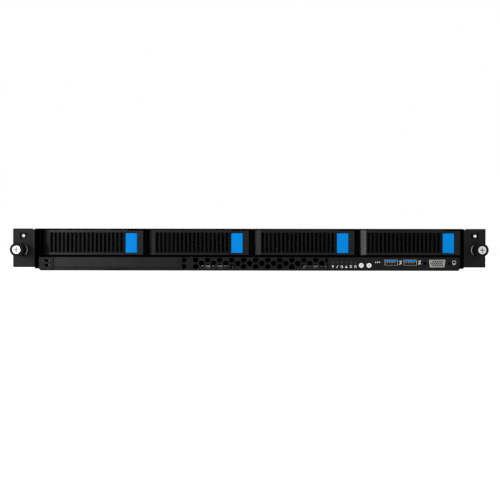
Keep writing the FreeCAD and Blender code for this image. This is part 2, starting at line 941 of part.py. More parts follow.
def front_io_board():
    left = io_left + sheet + fit_gap
    right = io_right - sheet
    front = 2 * sheet + slide_gap
    pieces = [box(left, right, front, front + io_board_depth, io_board_bottom, io_board_top)]
    inset = 3 * sheet
    for x in (left + inset, (left + right) / 2, right - inset):
        for y in (front + inset, front + io_board_depth - inset):
            pieces.append(post(button_flange, x, y, io_board_top, row_height))
    bores = []
    for from_left, z, radius in ((power_from_left, button_height, button_stem_radius),
                                 (identify_from_left, button_height, button_stem_radius),
                                 (reset_from_left, reset_height, reset_radius)):
        x = io_left + from_left
        pieces.append(box(x - switch_half, x + switch_half, switch_front,
                          switch_front + switch_depth, z - radius - running_gap - fit_gap,
                          io_board_bottom))
        bores.append(rod(radius + running_gap, x, switch_front - past,
                         stem_reach + button_travel + fit_gap, z))
    return joined(*pieces).cut(Part.makeCompound(bores))


def tab_left():
    return lever_length + divider_offset


def tab_right():
    return tab_left() + tab_width


def tab_bottom():
    return bezel_bottom + tab_low


def tab_top():
    return tab_bottom() + tab_height


def tab_pocket_back():
    return tab_depth - tab_proud + tab_travel + tab_spring_room


def mesh_holes(x0, x1, z0, z1, y):
    # Whole cells that fit in the given field
    pitch = mesh_hex + mesh_bar
    column = pitch * math.sqrt(3) / 2
    columns = int((x1 - x0 - mesh_hex) / column)
    rows = int((z1 - z0 - pitch / 2 - mesh_hex) / pitch) + 1
    x_first = x0 + (x1 - x0 - (columns - 1) * column) / 2
    z_first = z0 + (z1 - z0 - (rows - 1) * pitch - pitch / 2) / 2
    holes = []
    for index in range(columns):
        for row in range(rows):
            z = z_first + row * pitch + (pitch / 2 if index % 2 else 0)
            holes.append(front_wire(hexagon(x_first + index * column, z, mesh_hex), y))
    return holes


def carrier():
    # Drawn with its left edge at x = 0
    wall = carrier_wall
    frame_top = bezel_top - edge_gap
    mesh = front_plate(rectangle(0, bezel_width, bezel_bottom, frame_top),
                       mesh_holes(strip_width + 3 * slot_pitch, lever_length,
                                  bezel_bottom + wall, frame_top - wall, frame_front),
                       frame_front, carrier_mesh_sheet)
    ring = box(0, bezel_width, frame_front, drive_front, bezel_bottom, frame_top)
    ring = ring.cut(box(wall, bezel_width - wall, frame_front - past, drive_front + past,
                        bezel_bottom + wall, frame_top - wall))
    block_left = lever_length + lever_lip + fit_gap
    block = box(block_left, bezel_width, 0, frame_front + wall, bezel_bottom, bezel_top - end_drop)
    pocket = box(tab_left() - fit_gap, tab_right() + fit_gap, -past, tab_pocket_back(),
                 tab_bottom() - fit_gap, tab_top() + fit_gap)
    lights = [rod(light_radius, bezel_width - light_from_right, -past, frame_front - wall,
                  bezel_bottom + z) for z in (light_low, light_high)]
    block = block.cut(Part.makeCompound([pocket] + lights))
    pieces = [mesh, ring, block]
    for low in (bezel_bottom + slide_gap, bezel_top - slide_gap - ledge_sheet - edge_gap):
        high = low + ledge_sheet
        pieces.append(post(ledge_radius, strip_width, pivot_back, low, high))
        pieces.append(box(strip_width, strip_width + ledge_radius, pivot_back, frame_front + wall,
                          low, high))
    pieces.append(post(pivot_pin_radius, strip_width, pivot_back, bezel_bottom + slide_gap,
                       bezel_top - slide_gap - edge_gap))
    rail_back = drive_back + rail_tail
    rail_holes = []
    for x in (0, bezel_width - rail_wall):
        pieces.append(box(x, x + rail_wall, drive_front - wall, rail_back, rail_bottom,
                          rail_bottom + rail_height))
        for y in (drive_front + drive_length / 5, drive_back - drive_length / 5):
            rail_holes.append(Part.makeCylinder(rail_screw_radius, rail_wall + 2 * past,
                                                V(x - past, y, rail_bottom + rail_height / 2),
                                                ALONG_X))
    bar_back = drive_back - crossbar_width
    pieces.append(box(0, bezel_width, bar_back - crossbar_width, bar_back, rail_bottom,
                      rail_bottom + crossbar_sheet))
    return joined(*pieces).cut(Part.makeCompound(rail_holes))


def lever():
    # Slotted front plate, slanted strip at the hinge end, knuckle round the pin
    low_notch = tab_bottom() - divider_offset
    high_notch = tab_top() + divider_offset
    lip = lever_length + lever_lip
    outline = [(strip_width, bezel_bottom), (lip, bezel_bottom), (lip, low_notch),
               (lever_length, low_notch), (lever_length, high_notch), (lip, high_notch),
               (lip, bezel_top), (strip_width, bezel_top)]
    holes = []
    for index in range(slot_count):
        x = slot_from_left + index * slot_pitch
        holes.append(front_wire(rectangle(x, x + slot_width, bezel_bottom + slot_bottom_rail,
                                          bezel_top - slot_top_rail), 0))
    plate = front_plate(outline, holes, 0, lever_plate)
    run = strip_width - strip_setback
    length = math.hypot(run, strip_slant)
    thick = lever_plate * run / length
    inward_x = strip_slant / length * thick
    inward_y = run / length * thick
    along = (strip_slant + inward_y - lever_plate) / strip_slant
    strip = upright([(strip_setback, strip_slant), (strip_width, 0), (slot_from_left, 0),
                     (slot_from_left, lever_plate),
                     (strip_setback + inward_x + along * run, lever_plate),
                     (strip_setback + inward_x, strip_slant + inward_y)],
                    bezel_bottom, bezel_top)
    knuckle_low = bezel_bottom + slide_gap + ledge_sheet + slide_gap
    knuckle_high = bezel_top - slide_gap - edge_gap - ledge_sheet - slide_gap
    knuckle = post(knuckle_radius, strip_width, pivot_back, knuckle_low, knuckle_high)
    web = box(strip_width - knuckle_radius / 2, strip_width + knuckle_radius / 2,
              lever_plate / 2, pivot_back, knuckle_low, knuckle_high)
    bore = post(pivot_pin_radius + running_gap, strip_width, pivot_back,
                bezel_bottom - past, bezel_top + past)
    rib_left = strip_width + ledge_radius + sheet
    rib_right = lever_length - fit_gap
    ribs = [box(rib_left, rib_right, lever_plate / 2, lever_plate + lever_rib, z,
                z + lever_rib_sheet)
            for z in (bezel_bottom, bezel_top - lever_rib_sheet)]
    catch_low = (bezel_bottom + bezel_top - catch_height) / 2
    catch = box(rib_right - catch_sheet, rib_right, lever_plate / 2, lever_plate + catch_length,
                catch_low, catch_low + catch_height)
    return joined(plate, strip, knuckle, web, catch, *ribs).cut(bore)


def release_tab():
    tab = box(tab_left(), tab_right(), -tab_proud, tab_depth - tab_proud, tab_bottom(), tab_top())
    front_edges = [edge for edge in tab.Edges
                   if edge.BoundBox.YMax < 0 and edge.BoundBox.ZLength > tab_height / 2]
    return tab.makeChamfer(tab_edge, front_edges)


def plug_bottom():
    return drive_bottom + 2 * drive_board


def drive():
    # Cast body with a raised lid, circuit board underneath and an edge plug at the back
    left = rail_wall
    right = rail_wall + drive_width
    third = drive_front + drive_length / 3
    pieces = [box(left, right, drive_front, drive_back, drive_bottom + drive_board,
                  drive_top - drive_lid),
              box(left + drive_border, right - drive_border, drive_front + drive_border,
                  drive_back - drive_border, drive_top - 2 * drive_lid, drive_top),
              box(left + drive_border, right - drive_border, third, drive_back - drive_border,
                  drive_bottom, plug_bottom())]
    plug = left + drive_plug_from_left
    pieces.append(box(plug, plug + drive_plug_width, drive_back - let_in,
                      drive_back + drive_plug_length, plug_bottom(),
                      plug_bottom() + drive_plug_sheet))
    recess = post(drive_recess_radius, (left + right) / 2, third,
                  drive_top - drive_recess_depth, drive_top + past)
    return joined(*pieces).cut(recess)


def backplane():
    # Upright board with a socket for each drive and windows for the air
    left = first_bay - divider_offset - divider_sheet
    right = bay_x(bay_count - 1) + bezel_width + divider_offset + divider_sheet
    high = cover_bottom - carrier_over_gap
    window_top = high - backplane_window_edge
    plug_top = plug_bottom() + drive_plug_sheet
    windows = []
    pieces = []
    slots = []
    for bay in range(bay_count):
        plug = bay_x(bay) + rail_wall + drive_plug_from_left
        plug_end = plug + drive_plug_width
        # A tall window beside the socket and a low one over it
        beside = plug_end + backplane_socket_wall + backplane_window_gap
        windows.append(rectangle(beside, bay_x(bay) + bezel_width - backplane_window_side,
                                 shelf_top + backplane_window_gap, window_top))
        windows.append(rectangle(bay_x(bay) + backplane_window_side,
                                 beside - backplane_window_post,
                                 plug_top + backplane_window_gap, window_top))
        front = backplane_front - drive_plug_length - fit_gap
        pieces.append(box(plug - backplane_socket_wall, plug_end + backplane_socket_wall, front,
                          backplane_front, plug_bottom() - backplane_socket_wall,
                          plug_top + backplane_socket_wall))
        slots.append(box(plug - fit_gap, plug_end + fit_gap, front - past,
                         drive_back + drive_plug_length + fit_gap,
                         plug_bottom() - fit_gap, plug_top + fit_gap))
    board = front_plate(rectangle(left, right, shelf_top, high),
                        [front_wire(window, backplane_front) for window in windows],
                        backplane_front, circuit_board)
    return joined(board, *pieces).cut(Part.makeCompound(slots))


def fan_x(index):
    return (index - (fan_count - 1) / 2) * fan_pitch


def fan_wall():
    side = floor_inside - fit_gap
    holes = [round_wire(fan_x(index), fan_centre_z, duct_radius, fan_back)
             for index in range(fan_count)]
    for index in range(fan_count - 1):
        x = (fan_x(index) + fan_x(index + 1)) / 2
        holes.append(front_wire(rectangle(x - wall_window_width / 2, x + wall_window_width / 2,
                                          fan_centre_z - wall_window_height / 2,
                                          fan_centre_z + wall_window_height / 2), fan_back))
    return front_plate(rectangle(-side, side, sheet, cover_bottom - fit_gap), holes, fan_back,
                       sheet)


def fan_housing():
    # One square fan housing centred on x = 0, bearing and struts at its back
    half = fan_size / 2
    z = fan_centre_z
    body = box(-half, half, fan_front, fan_back, z - half, z + half)
    cuts = [rod(duct_radius, 0, fan_front - past, fan_back + past, z)]
    reach = half - fan_screw_inset
    for dx in (-reach, reach):
        for dz in (-reach, reach):
            cuts.append(rod(fan_screw_radius, dx, fan_front - past, fan_back + past, z + dz))
    body = body.cut(Part.makeCompound(cuts))
    strut_front = fan_back - bearing_sheet
    pieces = [rod(bearing_radius, 0, strut_front, fan_back, z),
              box(-duct_radius - let_in, duct_radius + let_in, strut_front, fan_back,
                  z - strut_width / 2, z + strut_width / 2),
              box(-strut_width / 2, strut_width / 2, strut_front, fan_back,
                  z - duct_radius - let_in, z + duct_radius + let_in)]
    bore = rod(axle_radius + running_gap, 0, strut_front - past, fan_back + past, z)
    return joined(body, *pieces).cut(bore)


def fan_housings():
    housing = fan_housing()
    return Part.makeCompound([moved(housing, x=fan_x(index)) for index in range(fan_count)])


def rotor(radius, hub, length, axle_end, toward_back):
    # A fan wheel on the axis y, hub from y = 0 to its length, with an axle at one end
    pieces = [rod(hub, 0, 0, length, 0)]
    blade_length = radius - hub + let_in
    tilt = math.radians(blade_pitch_degrees)
    for index in range(blade_count):
        blade = box(-blade_sheet / 2, blade_sheet / 2, 0, (length - sheet) / math.cos(tilt),
                    0, blade_length)
        blade.translate(V(0, -(length - sheet) / math.cos(tilt) / 2, hub - let_in))
        blade.rotate(V(0, 0, 0), ALONG_Z, blade_pitch_degrees)
        blade.translate(V(0, length / 2, 0))
        blade.rotate(V(0, 0, 0), ALONG_Y, 360 * index / blade_count)
        pieces.append(blade)
    wheel = joined(*pieces).common(rod(radius, 0, 0, length, 0))
    if toward_back:
        axle = rod(axle_radius, 0, length - let_in, length + axle_end, 0)
    else:
        axle = rod(axle_radius, 0, -axle_end, let_in, 0)
    return joined(wheel, axle)


def fan_rotor():
    room = fan_depth - bearing_sheet - slide_gap
    length = room * rotor_share
    wheel = rotor(duct_radius - blade_gap, hub_radius, length, bearing_sheet, True)
    return moved(wheel, y=fan_back - bearing_sheet - slide_gap - length, z=fan_centre_z)


def module_places():
    # Memory sockets between the two heatsinks, and on each outer side as many as the board holds
    places = []
    for index in range(module_group):
        places.append(board_centre + (index - (module_group - 1) / 2) * module_pitch)
    sink_side = (processor_spacing + sink_width) / 2 + sheet
    outer_room = (board_right - board_left) / 2 - sink_side
    for index in range(min(module_group, int(outer_room / module_pitch))):
        for side in (-1, 1):
            places.append(board_centre + side * (sink_side + (index + 0.5) * module_pitch))
    return places


def processor_places():
    return [board_centre - processor_spacing / 2, board_centre + processor_spacing / 2]


def motherboard():
    middle = board_front + socket_centre_back
    pieces = [box(board_left, board_right, board_front, board_back, board_bottom, board_top)]
    for x in processor_places():
        pieces.append(box(x - processor_width / 2, x + processor_width / 2,
                          middle - processor_length / 2, middle + processor_length / 2,
                          board_top - edge_gap, board_top + processor_height))
    slots = []
    for x in module_places():
        y0 = middle - module_socket_length / 2
        pieces.append(box(x - module_socket_width / 2, x + module_socket_width / 2, y0,
                          y0 + module_socket_length, board_top - edge_gap,
                          board_top + module_socket_height))
        half_slot = module_sheet / 2 + edge_gap
        slots.append(box(x - half_slot, x + half_slot, middle - module_length / 2 - fit_gap,
                         middle + module_length / 2 + fit_gap, board_top + module_seat,
                         board_top + module_socket_height + past))
    y = board_back - chipset_from_back
    pieces.append(box(board_centre - chipset_size / 2, board_centre + chipset_size / 2,
                      y - chipset_size, y, board_top - edge_gap, board_top + chipset_height))
    return joined(*pieces).cut(Part.makeCompound(slots))


def heatsinks():
    # A comb drawn from the front: base plate with upright fins
    sinks = []
    base = board_top + processor_height
    top = cover_bottom - lid_gap
    count = int((sink_width - fin_sheet) / fin_pitch) + 1
    first = -(count - 1) * fin_pitch / 2
    for x in processor_places():
        corners = [(x - sink_width / 2, base), (x + sink_width / 2, base),
                   (x + sink_width / 2, base + sink_base)]
        for index in reversed(range(count)):
            fin = x + first + index * fin_pitch
            corners += [(fin + fin_sheet / 2, base + sink_base), (fin + fin_sheet / 2, top),
                        (fin - fin_sheet / 2, top), (fin - fin_sheet / 2, base + sink_base)]
        corners.append((x - sink_width / 2, base + sink_base))
        y = board_front + socket_centre_back - sink_length / 2
        sinks.append(front_plate(corners, [], y, sink_length))
    return Part.makeCompound(sinks)


def memory_modules():
    middle = board_front + socket_centre_back
    bottom = board_top + module_seat
    top = cover_bottom - lid_gap
    chip_low = board_top + module_socket_height + module_chip_inset
    chip_high = top - module_chip_inset
    card = box(-module_sheet / 2, module_sheet / 2, middle - module_length / 2,
               middle + module_length / 2, bottom, top)
    chips = []
    step = (module_length - 2 * module_chip_inset) / module_chip_count
    for index in range(module_chip_count):
        y = middle - module_length / 2 + module_chip_inset + index * step
        chips.append(box(-module_sheet / 2 - module_chip_sheet,
                         module_sheet / 2 + module_chip_sheet, y,
                         y + module_chip_share * step, chip_low, chip_high))
    module = joined(card, *chips)
    return Part.makeCompound([moved(module, x=x) for x in module_places()])


def rear_sockets():
    # Centre, width and height of each socket on the rear edge of the main board
    sockets = [(board_left + jack_from_left + index * jack_pitch, jack_width, jack_height)
               for index in range(jack_count)]
    sockets.append((board_left + stack_from_left, stack_width, stack_height))
    sockets.append((board_left + rear_video_from_left, 2 * jackscrew_flange, jack_height))
    return sockets


def rear_connectors():
    shapes = []
    face = body_depth + socket_proud
    bottom = board_top
    for index in range(jack_count):
        x = board_left + jack_from_left + index * jack_pitch
        jack = box(x - jack_width / 2, x + jack_width / 2, face - jack_depth, face, bottom,
                   bottom + jack_height)
        mouth = box(x - jack_width / 2 + jack_wall, x + jack_width / 2 - jack_wall,
                    face - jack_mouth_depth, face + past, bottom + jack_wall,
                    bottom + jack_wall + jack_mouth_height)
        key = box(x - jack_wall, x + jack_wall, face - jack_mouth_depth, face + past,
                  bottom + jack_wall, bottom + jack_height - sheet)
        shapes.append(jack.cut(Part.makeCompound([mouth, key])))
    x = board_left + stack_from_left
    stack = box(x - stack_width / 2, x + stack_width / 2, face - stack_depth, face, bottom,
                bottom + stack_height)
    mouths = []
    for index in range(2):
        low = bottom + sheet + index * stack_pitch
        mouth = box(x - stack_mouth_width / 2, x + stack_mouth_width / 2, face - stack_depth / 2,
                    face + past, low, low + stack_mouth_height)
        tongue = box(x - usb_tongue_width / 2, x + usb_tongue_width / 2, face - stack_depth / 2,
                     face - usb_tongue_setback, low + stack_mouth_height - 2 * usb_tongue_sheet,
                     low + stack_mouth_height - usb_tongue_sheet)
        mouths.append(mouth.cut(tongue))
    shapes.append(stack.cut(Part.makeCompound(mouths)))
    x = board_left + rear_video_from_left
    z = bottom + jack_height / 2
    flange = box(x - jackscrew_flange, x + jackscrew_flange, face - jack_depth, face - sheet,
                 bottom, bottom + jack_height)
    shell = front_plate(video_outline(x, z, 0), [], face - 2 * sheet, 2 * sheet)
    mouth = front_plate(video_outline(x, z, -vga_wall), [], face - 2 * sheet, 3 * sheet)
    screws = [rod(jackscrew_radius, x + side * jackscrew_spacing / 2, face - jack_depth - past,
                  face + past, z) for side in (-1, 1)]
    shapes.append(joined(flange, shell).cut(Part.makeCompound([mouth] + screws)))
    return Part.makeCompound(shapes)


def supply_fan_x():
    return supply_fan_border + supply_duct_radius


def supply_centre_z():
    return (supply_bottom + supply_top) / 2


def supply_latch_range():
    right = supply_width - latch_from_right
    return right - latch_width, right


def power_supply():
    # Drawn with its left edge at x = 0
    back = body_depth
    front = back - supply_length
    z = supply_centre_z()
    x = supply_fan_x()
    case = box(0, supply_width, front, back, supply_bottom, supply_top)
    inside = box(supply_sheet, supply_width - supply_sheet, front + supply_sheet,
                 back - supply_block_length, supply_bottom + supply_sheet,
                 supply_top - supply_sheet)
    board_low = supply_bottom + supply_board_height
    inside = inside.cut(box(0, supply_width, front, back, board_low, board_low + circuit_board))
    duct_back = back - supply_guard
    duct = rod(supply_duct_radius, x, back - supply_duct_depth, duct_back, z)
    bearing = rod(supply_hub_radius, x, back - supply_duct_depth - past,
                  back - supply_duct_depth + bearing_sheet, z)
    duct = duct.cut(bearing)
    bore = rod(axle_radius + running_gap, x, back - supply_duct_depth - bearing_sheet,
               back - supply_duct_depth + bearing_sheet + past, z)
    cuts = [inside, duct, bore]
    for index in range(supply_vent_count):
        for edge in (supply_pitch / 8, supply_width - supply_pitch / 8):
            low = z + (index - supply_vent_count / 2) * supply_vent_pitch
            cuts.append(box(edge - supply_vent_pitch, edge + supply_vent_pitch, front - past,
                            front + supply_sheet + past, low, low + supply_vent_width))
    bars = joined(box(x - supply_duct_radius, x + supply_duct_radius, duct_back - past, back + past,
                      z - guard_bar / 2, z + guard_bar / 2),
                  box(x - guard_bar / 2, x + guard_bar / 2, duct_back - past, back + past,
                      z - supply_duct_radius, z + supply_duct_radius))
    for index in range(guard_ring_count):
        inner = guard_ring_inner_radius + index * guard_ring_pitch
        ring = rod(inner + guard_ring_width, x, duct_back - edge_gap, back + edge_gap, z)
        ring = ring.cut(rod(inner, x, duct_back - past, back + past, z))
        cuts.append(ring.cut(bars))
    inlet_x = inlet_from_left
    inlet_z = supply_bottom + inlet_low
    inlet = box(inlet_x - inlet_width / 2, inlet_x + inlet_width / 2, back - inlet_depth,
                back + past, inlet_z, inlet_z + inlet_height)
    pin_back = back - inlet_depth + inlet_pin_length
    line_low = inlet_z + inlet_height / 6
    earth_low = line_low + inlet_pin_step
    pins = []
    for dx, low in ((-inlet_pin_spacing / 2, line_low), (0, earth_low),
                    (inlet_pin_spacing / 2, line_low)):
        pins.append(box(inlet_x + dx - inlet_pin_width / 2, inlet_x + dx + inlet_pin_width / 2,
                        back - inlet_depth - past, pin_back, low, low + inlet_pin_height))
    cuts.append(inlet.cut(Part.makeCompound(pins)))
    latch_x0, latch_x1 = supply_latch_range()
    cuts.append(box(latch_x0 - latch_travel - fit_gap, latch_x1 + fit_gap,
                    back - latch_inside - fit_gap, back + past,
                    supply_bottom + latch_low - fit_gap,
                    supply_bottom + latch_low + latch_height + fit_gap))
    case = case.cut(Part.makeCompound(cuts))
    low = supply_bottom + handle_low
    loop = box(handle_from_left - handle_bar / 2, handle_from_left + handle_bar / 2, back - let_in,
               back + handle_reach, low, low + handle_height)
    gap = box(handle_from_left - handle_bar, handle_from_left + handle_bar, back,
              back + handle_reach - handle_bar, low + handle_bar, low + handle_height - handle_bar)
    finger_x = (supply_width - finger_width) / 2
    finger = box(finger_x, finger_x + finger_width, front - finger_length, front + let_in,
                 z - circuit_board / 2, z + circuit_board / 2)
    return joined(case, loop.cut(gap), finger)


def power_board():
    # Joins the two supplies to the main board: a flat board with one upright socket for each
    z = supply_centre_z()
    pieces = [box(supply_left, supplies_right, power_board_front, power_board_back, board_bottom,
                  board_top)]
    slots = []
    for index in range(supply_count):
        x0 = supply_left + index * supply_pitch + (supply_width - finger_width) / 2
        x1 = x0 + finger_width
        half_slot = circuit_board / 2 + fit_gap
        front = supply_front - finger_length - power_socket_wall
        pieces.append(box(x0 - power_socket_wall, x1 + power_socket_wall, front, power_board_back,
                          board_top - edge_gap, z + half_slot + power_socket_wall))
        slots.append(box(x0 - fit_gap, x1 + fit_gap, supply_front - finger_length - fit_gap,
                         supply_front, z - half_slot, z + half_slot))
    return joined(*pieces).cut(Part.makeCompound(slots))


def supply_latch():
    x0, x1 = supply_latch_range()
    low = supply_bottom + latch_low
    return box(x0, x1, body_depth - latch_inside, body_depth + latch_reach, low,
               low + latch_height)


def supply_rotor():
    # The hub runs just behind the bearing, and its axle reaches forward into it
    wheel = rotor(supply_duct_radius - blade_gap, supply_hub_radius, supply_rotor_length,
                  bearing_sheet, False)
    y = body_depth - supply_duct_depth + bearing_sheet + slide_gap
    return moved(wheel, x=supply_fan_x(), y=y, z=supply_centre_z())


def build():
    nodes = {
        "chassis_tray": chassis_tray(),
        "rear_panel": rear_panel(),
        "drive_cage": drive_cage(),
        "front_top_cover": front_top_cover(),
        "top_cover": top_cover(),
        "left_ear": ear(-1),
        "right_ear": ear(1),
        "ear_latch_plates": ear_latch_plates(),
        "screw_ferrules": screw_ferrules(),
        "front_left_bracket": front_left_bracket(),
        "slim_bay_blank": slim_bay_blank(),
        "vent_panel": vent_panel(),
        "io_panel": io_panel(),
        "front_io_board": front_io_board(),
        "socket_shells": socket_shells(),
        "socket_inserts": socket_inserts(),
        "status_lights": status_lights(),
        "power_button": push_button(power_from_left),
        "identify_button": push_button(identify_from_left),
        "reset_button": reset_button(),
        "backplane": backplane(),
        "fan_wall": fan_wall(),
        "fan_housings": fan_housings(),
        "motherboard": motherboard(),
        "heatsinks": heatsinks(),
        "memory_modules": memory_modules(),
        "rear_connectors": rear_connectors(),
        "power_board": power_board(),
    }
    for name, side in (("left", -1), ("right", 1)):
        nodes[name + "_thumbscrew"] = thumbscrew(side)
        nodes[name + "_screw_knob"] = screw_knob(side)
        nodes[name + "_screw_retainer"] = screw_retainer(side)
    for name, shape in (("carrier", carrier()), ("carrier_lever", lever()),
                        ("release_tab", release_tab()), ("drive", drive())):
        for bay in range(bay_count):
            nodes[name + "_" + str(bay + 1)] = moved(shape, x=bay_x(bay))
    wheel = fan_rotor()
    for index in range(fan_count):
        nodes["fan_rotor_" + str(index + 1)] = moved(wheel, x=fan_x(index))
    for name, shape in (("power_supply", power_supply()), ("supply_latch", supply_latch()),
                        ("supply_rotor", supply_rotor())):
        for index in range(supply_count):
            nodes[name + "_" + str(index + 1)] = moved(shape, x=supply_left + index * supply_pitch)
    return nodes


os.makedirs("parts", exist_ok=True)
for name, shape in build().items():
    placed = moved(shape, y=-middle_y)
    placed.exportStep("parts/" + name + ".step")
    print(name, len(placed.Solids), "solid(s), valid", placed.isValid(),
          "volume", round(placed.Volume, 1))
print("body", round(body_width, 2), "x", round(body_depth, 2), "x", round(body_height, 2))
print("rack width", round(body_width + 2 * ear_width, 2), "middle y", round(middle_y, 3))
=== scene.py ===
# %% [markdown]
# # A one-unit rack server, dressed for its portrait
#
# The pieces of this server come from a drawing that already has every real size in it: the tray,
# the four drive carriers with their levers and blue tabs, the thumbscrews, the power supplies.
# Blender's work here is the looks: the coatings, the soft edges that catch the light, and the small
# parts that a drawing leaves out, such as screws, lenses, contacts and printed marks.
#
# The frame is loaded first and never moved. Blender's lengths are metres, x to the right of the
# front, y away from the viewer and z up, so a new piece is simply drawn where it belongs.

# %% Load the fixed frame
import json
import math
import bmesh
import bpy
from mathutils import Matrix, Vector


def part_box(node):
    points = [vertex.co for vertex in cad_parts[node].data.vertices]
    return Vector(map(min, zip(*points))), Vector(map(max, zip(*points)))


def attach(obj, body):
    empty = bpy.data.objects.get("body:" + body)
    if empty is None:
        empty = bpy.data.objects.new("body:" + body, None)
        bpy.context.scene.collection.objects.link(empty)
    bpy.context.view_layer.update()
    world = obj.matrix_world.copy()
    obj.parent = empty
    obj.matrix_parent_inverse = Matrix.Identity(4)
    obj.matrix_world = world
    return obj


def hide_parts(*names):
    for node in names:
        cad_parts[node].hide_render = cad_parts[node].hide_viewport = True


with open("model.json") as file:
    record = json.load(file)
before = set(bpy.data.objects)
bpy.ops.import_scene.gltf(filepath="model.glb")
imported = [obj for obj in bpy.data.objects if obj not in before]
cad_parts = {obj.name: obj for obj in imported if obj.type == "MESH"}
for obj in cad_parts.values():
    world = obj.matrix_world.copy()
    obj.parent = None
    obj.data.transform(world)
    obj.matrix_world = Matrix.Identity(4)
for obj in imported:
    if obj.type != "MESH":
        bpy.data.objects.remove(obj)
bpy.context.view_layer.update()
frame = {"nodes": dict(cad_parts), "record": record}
mm = 0.001

# %% [markdown]
# ## Where things are
#
# Each part of the drawing can be asked for its lowest and highest corner. A few faces and centres
# are read from those corners once, and every added piece takes its place from them. That way a
# screw or a lens stays near its hole if the drawing is made again with other sizes. The new pieces
# are drawn in millimetres, as a workshop drawing is, and shrunk to metres when they are done.

# %% Read the main faces from the frame
def span(node):
    """The lowest and highest corner of a node, in millimetres."""
    low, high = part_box(node)
    return low / mm, high / mm


lid_low, lid_high = span("top_cover")
cover_high = span("front_top_cover")[1]
body_top = cover_high.z
front = span("io_panel")[0].y
rear = span("rear_panel")[1].y
front_face = front * mm
FORWARD = Vector((0, -1, 0))
BACKWARD = Vector((0, 1, 0))
UPWARD = Vector((0, 0, 1))
BAYS = (1, 2, 3, 4)
SIDES = {"left": -1, "right": 1}
print("front face y", round(front, 2), "rear face y", round(rear, 2), "top z", round(body_top, 2))

# %% [markdown]
# ## The camera
#
# The product photograph looks straight at the front from less than a metre away: the sides can't be
# seen, yet the silver screw heads, which stand 20 mm proud, have slid outwards over their ears.
# That slide gives the distance. The camera stands level at half the height of the unit, so neither
# the cover nor the floor under the unit shows, and it is turned by a hair, as the photograph is.

# %% Set the camera at the photograph's place
picture_side = 500
photo_centre_x = 249.3
photo_base_y = 270.8
photo_pixels_per_mm = 0.9793
camera_distance = 0.9
camera_roll = math.radians(-0.07)

camera_data = bpy.data.cameras.new("portrait_camera")
camera = bpy.data.objects.new("portrait_camera", camera_data)
bpy.context.scene.collection.objects.link(camera)
bpy.context.scene.camera = camera
half_view = picture_side / 2 / photo_pixels_per_mm * mm
camera_data.lens = camera_data.sensor_width / 2 / (half_view / camera_distance)
camera_data.clip_start = 0.01
camera_x = (picture_side / 2 - photo_centre_x) / photo_pixels_per_mm * mm
camera_z = (photo_base_y - picture_side / 2) / photo_pixels_per_mm * mm
camera.location = (camera_x, front_face - camera_distance, camera_z)
camera.rotation_euler = (math.pi / 2, camera_roll, 0)
print("lens", round(camera_data.lens, 2), "mm, height", round(camera_z / mm, 1), "mm")

# %% [markdown]
# ## Floor, light and background
#
# The unit lies on a white sweep in soft studio light. The floor is a large plain sheet. Rays from
# the camera, and the rays that a shiny surface or a clear part sends out, find the floor and the
# world white; rays that only carry light find a calmer grey, so a white background doesn't flood
# the black metal. The floor still receives the soft shadow, because its white is only partly given
# and the rest has to be lit. Two small helpers for nodes come first, as every material needs them.

# %% Helpers for nodes
def feed(tree, value, socket):
    """Sets a socket to a number or a colour, or links it to another node's output."""
    if isinstance(value, bpy.types.NodeSocket):
        tree.links.new(value, socket)
    else:
        socket.default_value = value


def reckon(tree, operation, *values, kind="ShaderNodeMath", result="Value"):
    """One step of arithmetic in a node tree."""
    step = tree.nodes.new(kind)
    step.operation = operation
    for value, socket in zip(values, step.inputs):
        feed(tree, value, socket)
    return step.outputs[result]


def seen_share(tree):
    """1 for rays from the camera, from gloss and through clear parts, and 0 for diffuse light."""
    path = tree.nodes.new("ShaderNodeLightPath").outputs
    seen = reckon(tree, "MAXIMUM", path["Is Camera Ray"], path["Is Glossy Ray"])
    return reckon(tree, "MAXIMUM", seen, path["Is Transmission Ray"])


# %% The world
sky_light = 0.22
world = bpy.data.worlds.new("studio")
bpy.context.scene.world = world
world.use_nodes = True
sky = world.node_tree.nodes["Background"]
sky.inputs["Color"].default_value = (1, 1, 1, 1)
strength = world.node_tree.nodes.new("ShaderNodeMapRange")
strength.inputs["To Min"].default_value = sky_light
strength.inputs["To Max"].default_value = 1.0
world.node_tree.links.new(seen_share(world.node_tree), strength.inputs["Value"])
world.node_tree.links.new(strength.outputs["Result"], sky.inputs["Strength"])
bpy.context.scene.view_settings.view_transform = "Standard"
print("world light", sky_light)

# %% The floor
floor_reach = 30.0
floor_paper = 0.86
floor_white = 1.02
floor_glow = floor_white - floor_paper * sky_light
floor_mesh = bpy.data.meshes.new("floor")
floor_mesh.from_pydata([(x * floor_reach, y * floor_reach, 0)
                        for x, y in ((-1, -1), (1, -1), (1, 1), (-1, 1))], [], [(0, 1, 2, 3)])
floor = bpy.data.objects.new("floor", floor_mesh)
bpy.context.scene.collection.objects.link(floor)
paper = bpy.data.materials.new("floor_paper")
paper.use_nodes = True
paper_shader = paper.node_tree.nodes["Principled BSDF"]
paper_shader.inputs["Base Color"].default_value = (floor_paper, floor_paper, floor_paper, 1)
paper_shader.inputs["Roughness"].default_value = 0.9
paper_shader.inputs["Specular IOR Level"].default_value = 0.0
paper_shader.inputs["Emission Color"].default_value = (1, 1, 1, 1)
glow = reckon(paper.node_tree, "MULTIPLY", seen_share(paper.node_tree), floor_glow)
paper.node_tree.links.new(glow, paper_shader.inputs["Emission Strength"])
floor_mesh.materials.append(paper)
print("floor glow", round(floor_glow, 3))

# %% [markdown]
# The photograph is lit from the left: the left ear and the left ends of the panels are brighter,
# and the slanted strips at the hinge ends of the levers, which face that way, shine. A near lamp on
# the left does this, because near light fades along the half metre of the front. A weaker lamp,
# lower and further forward, carries its shine on towards the middle. The others only lift the dark
# side, the top and the back a little.

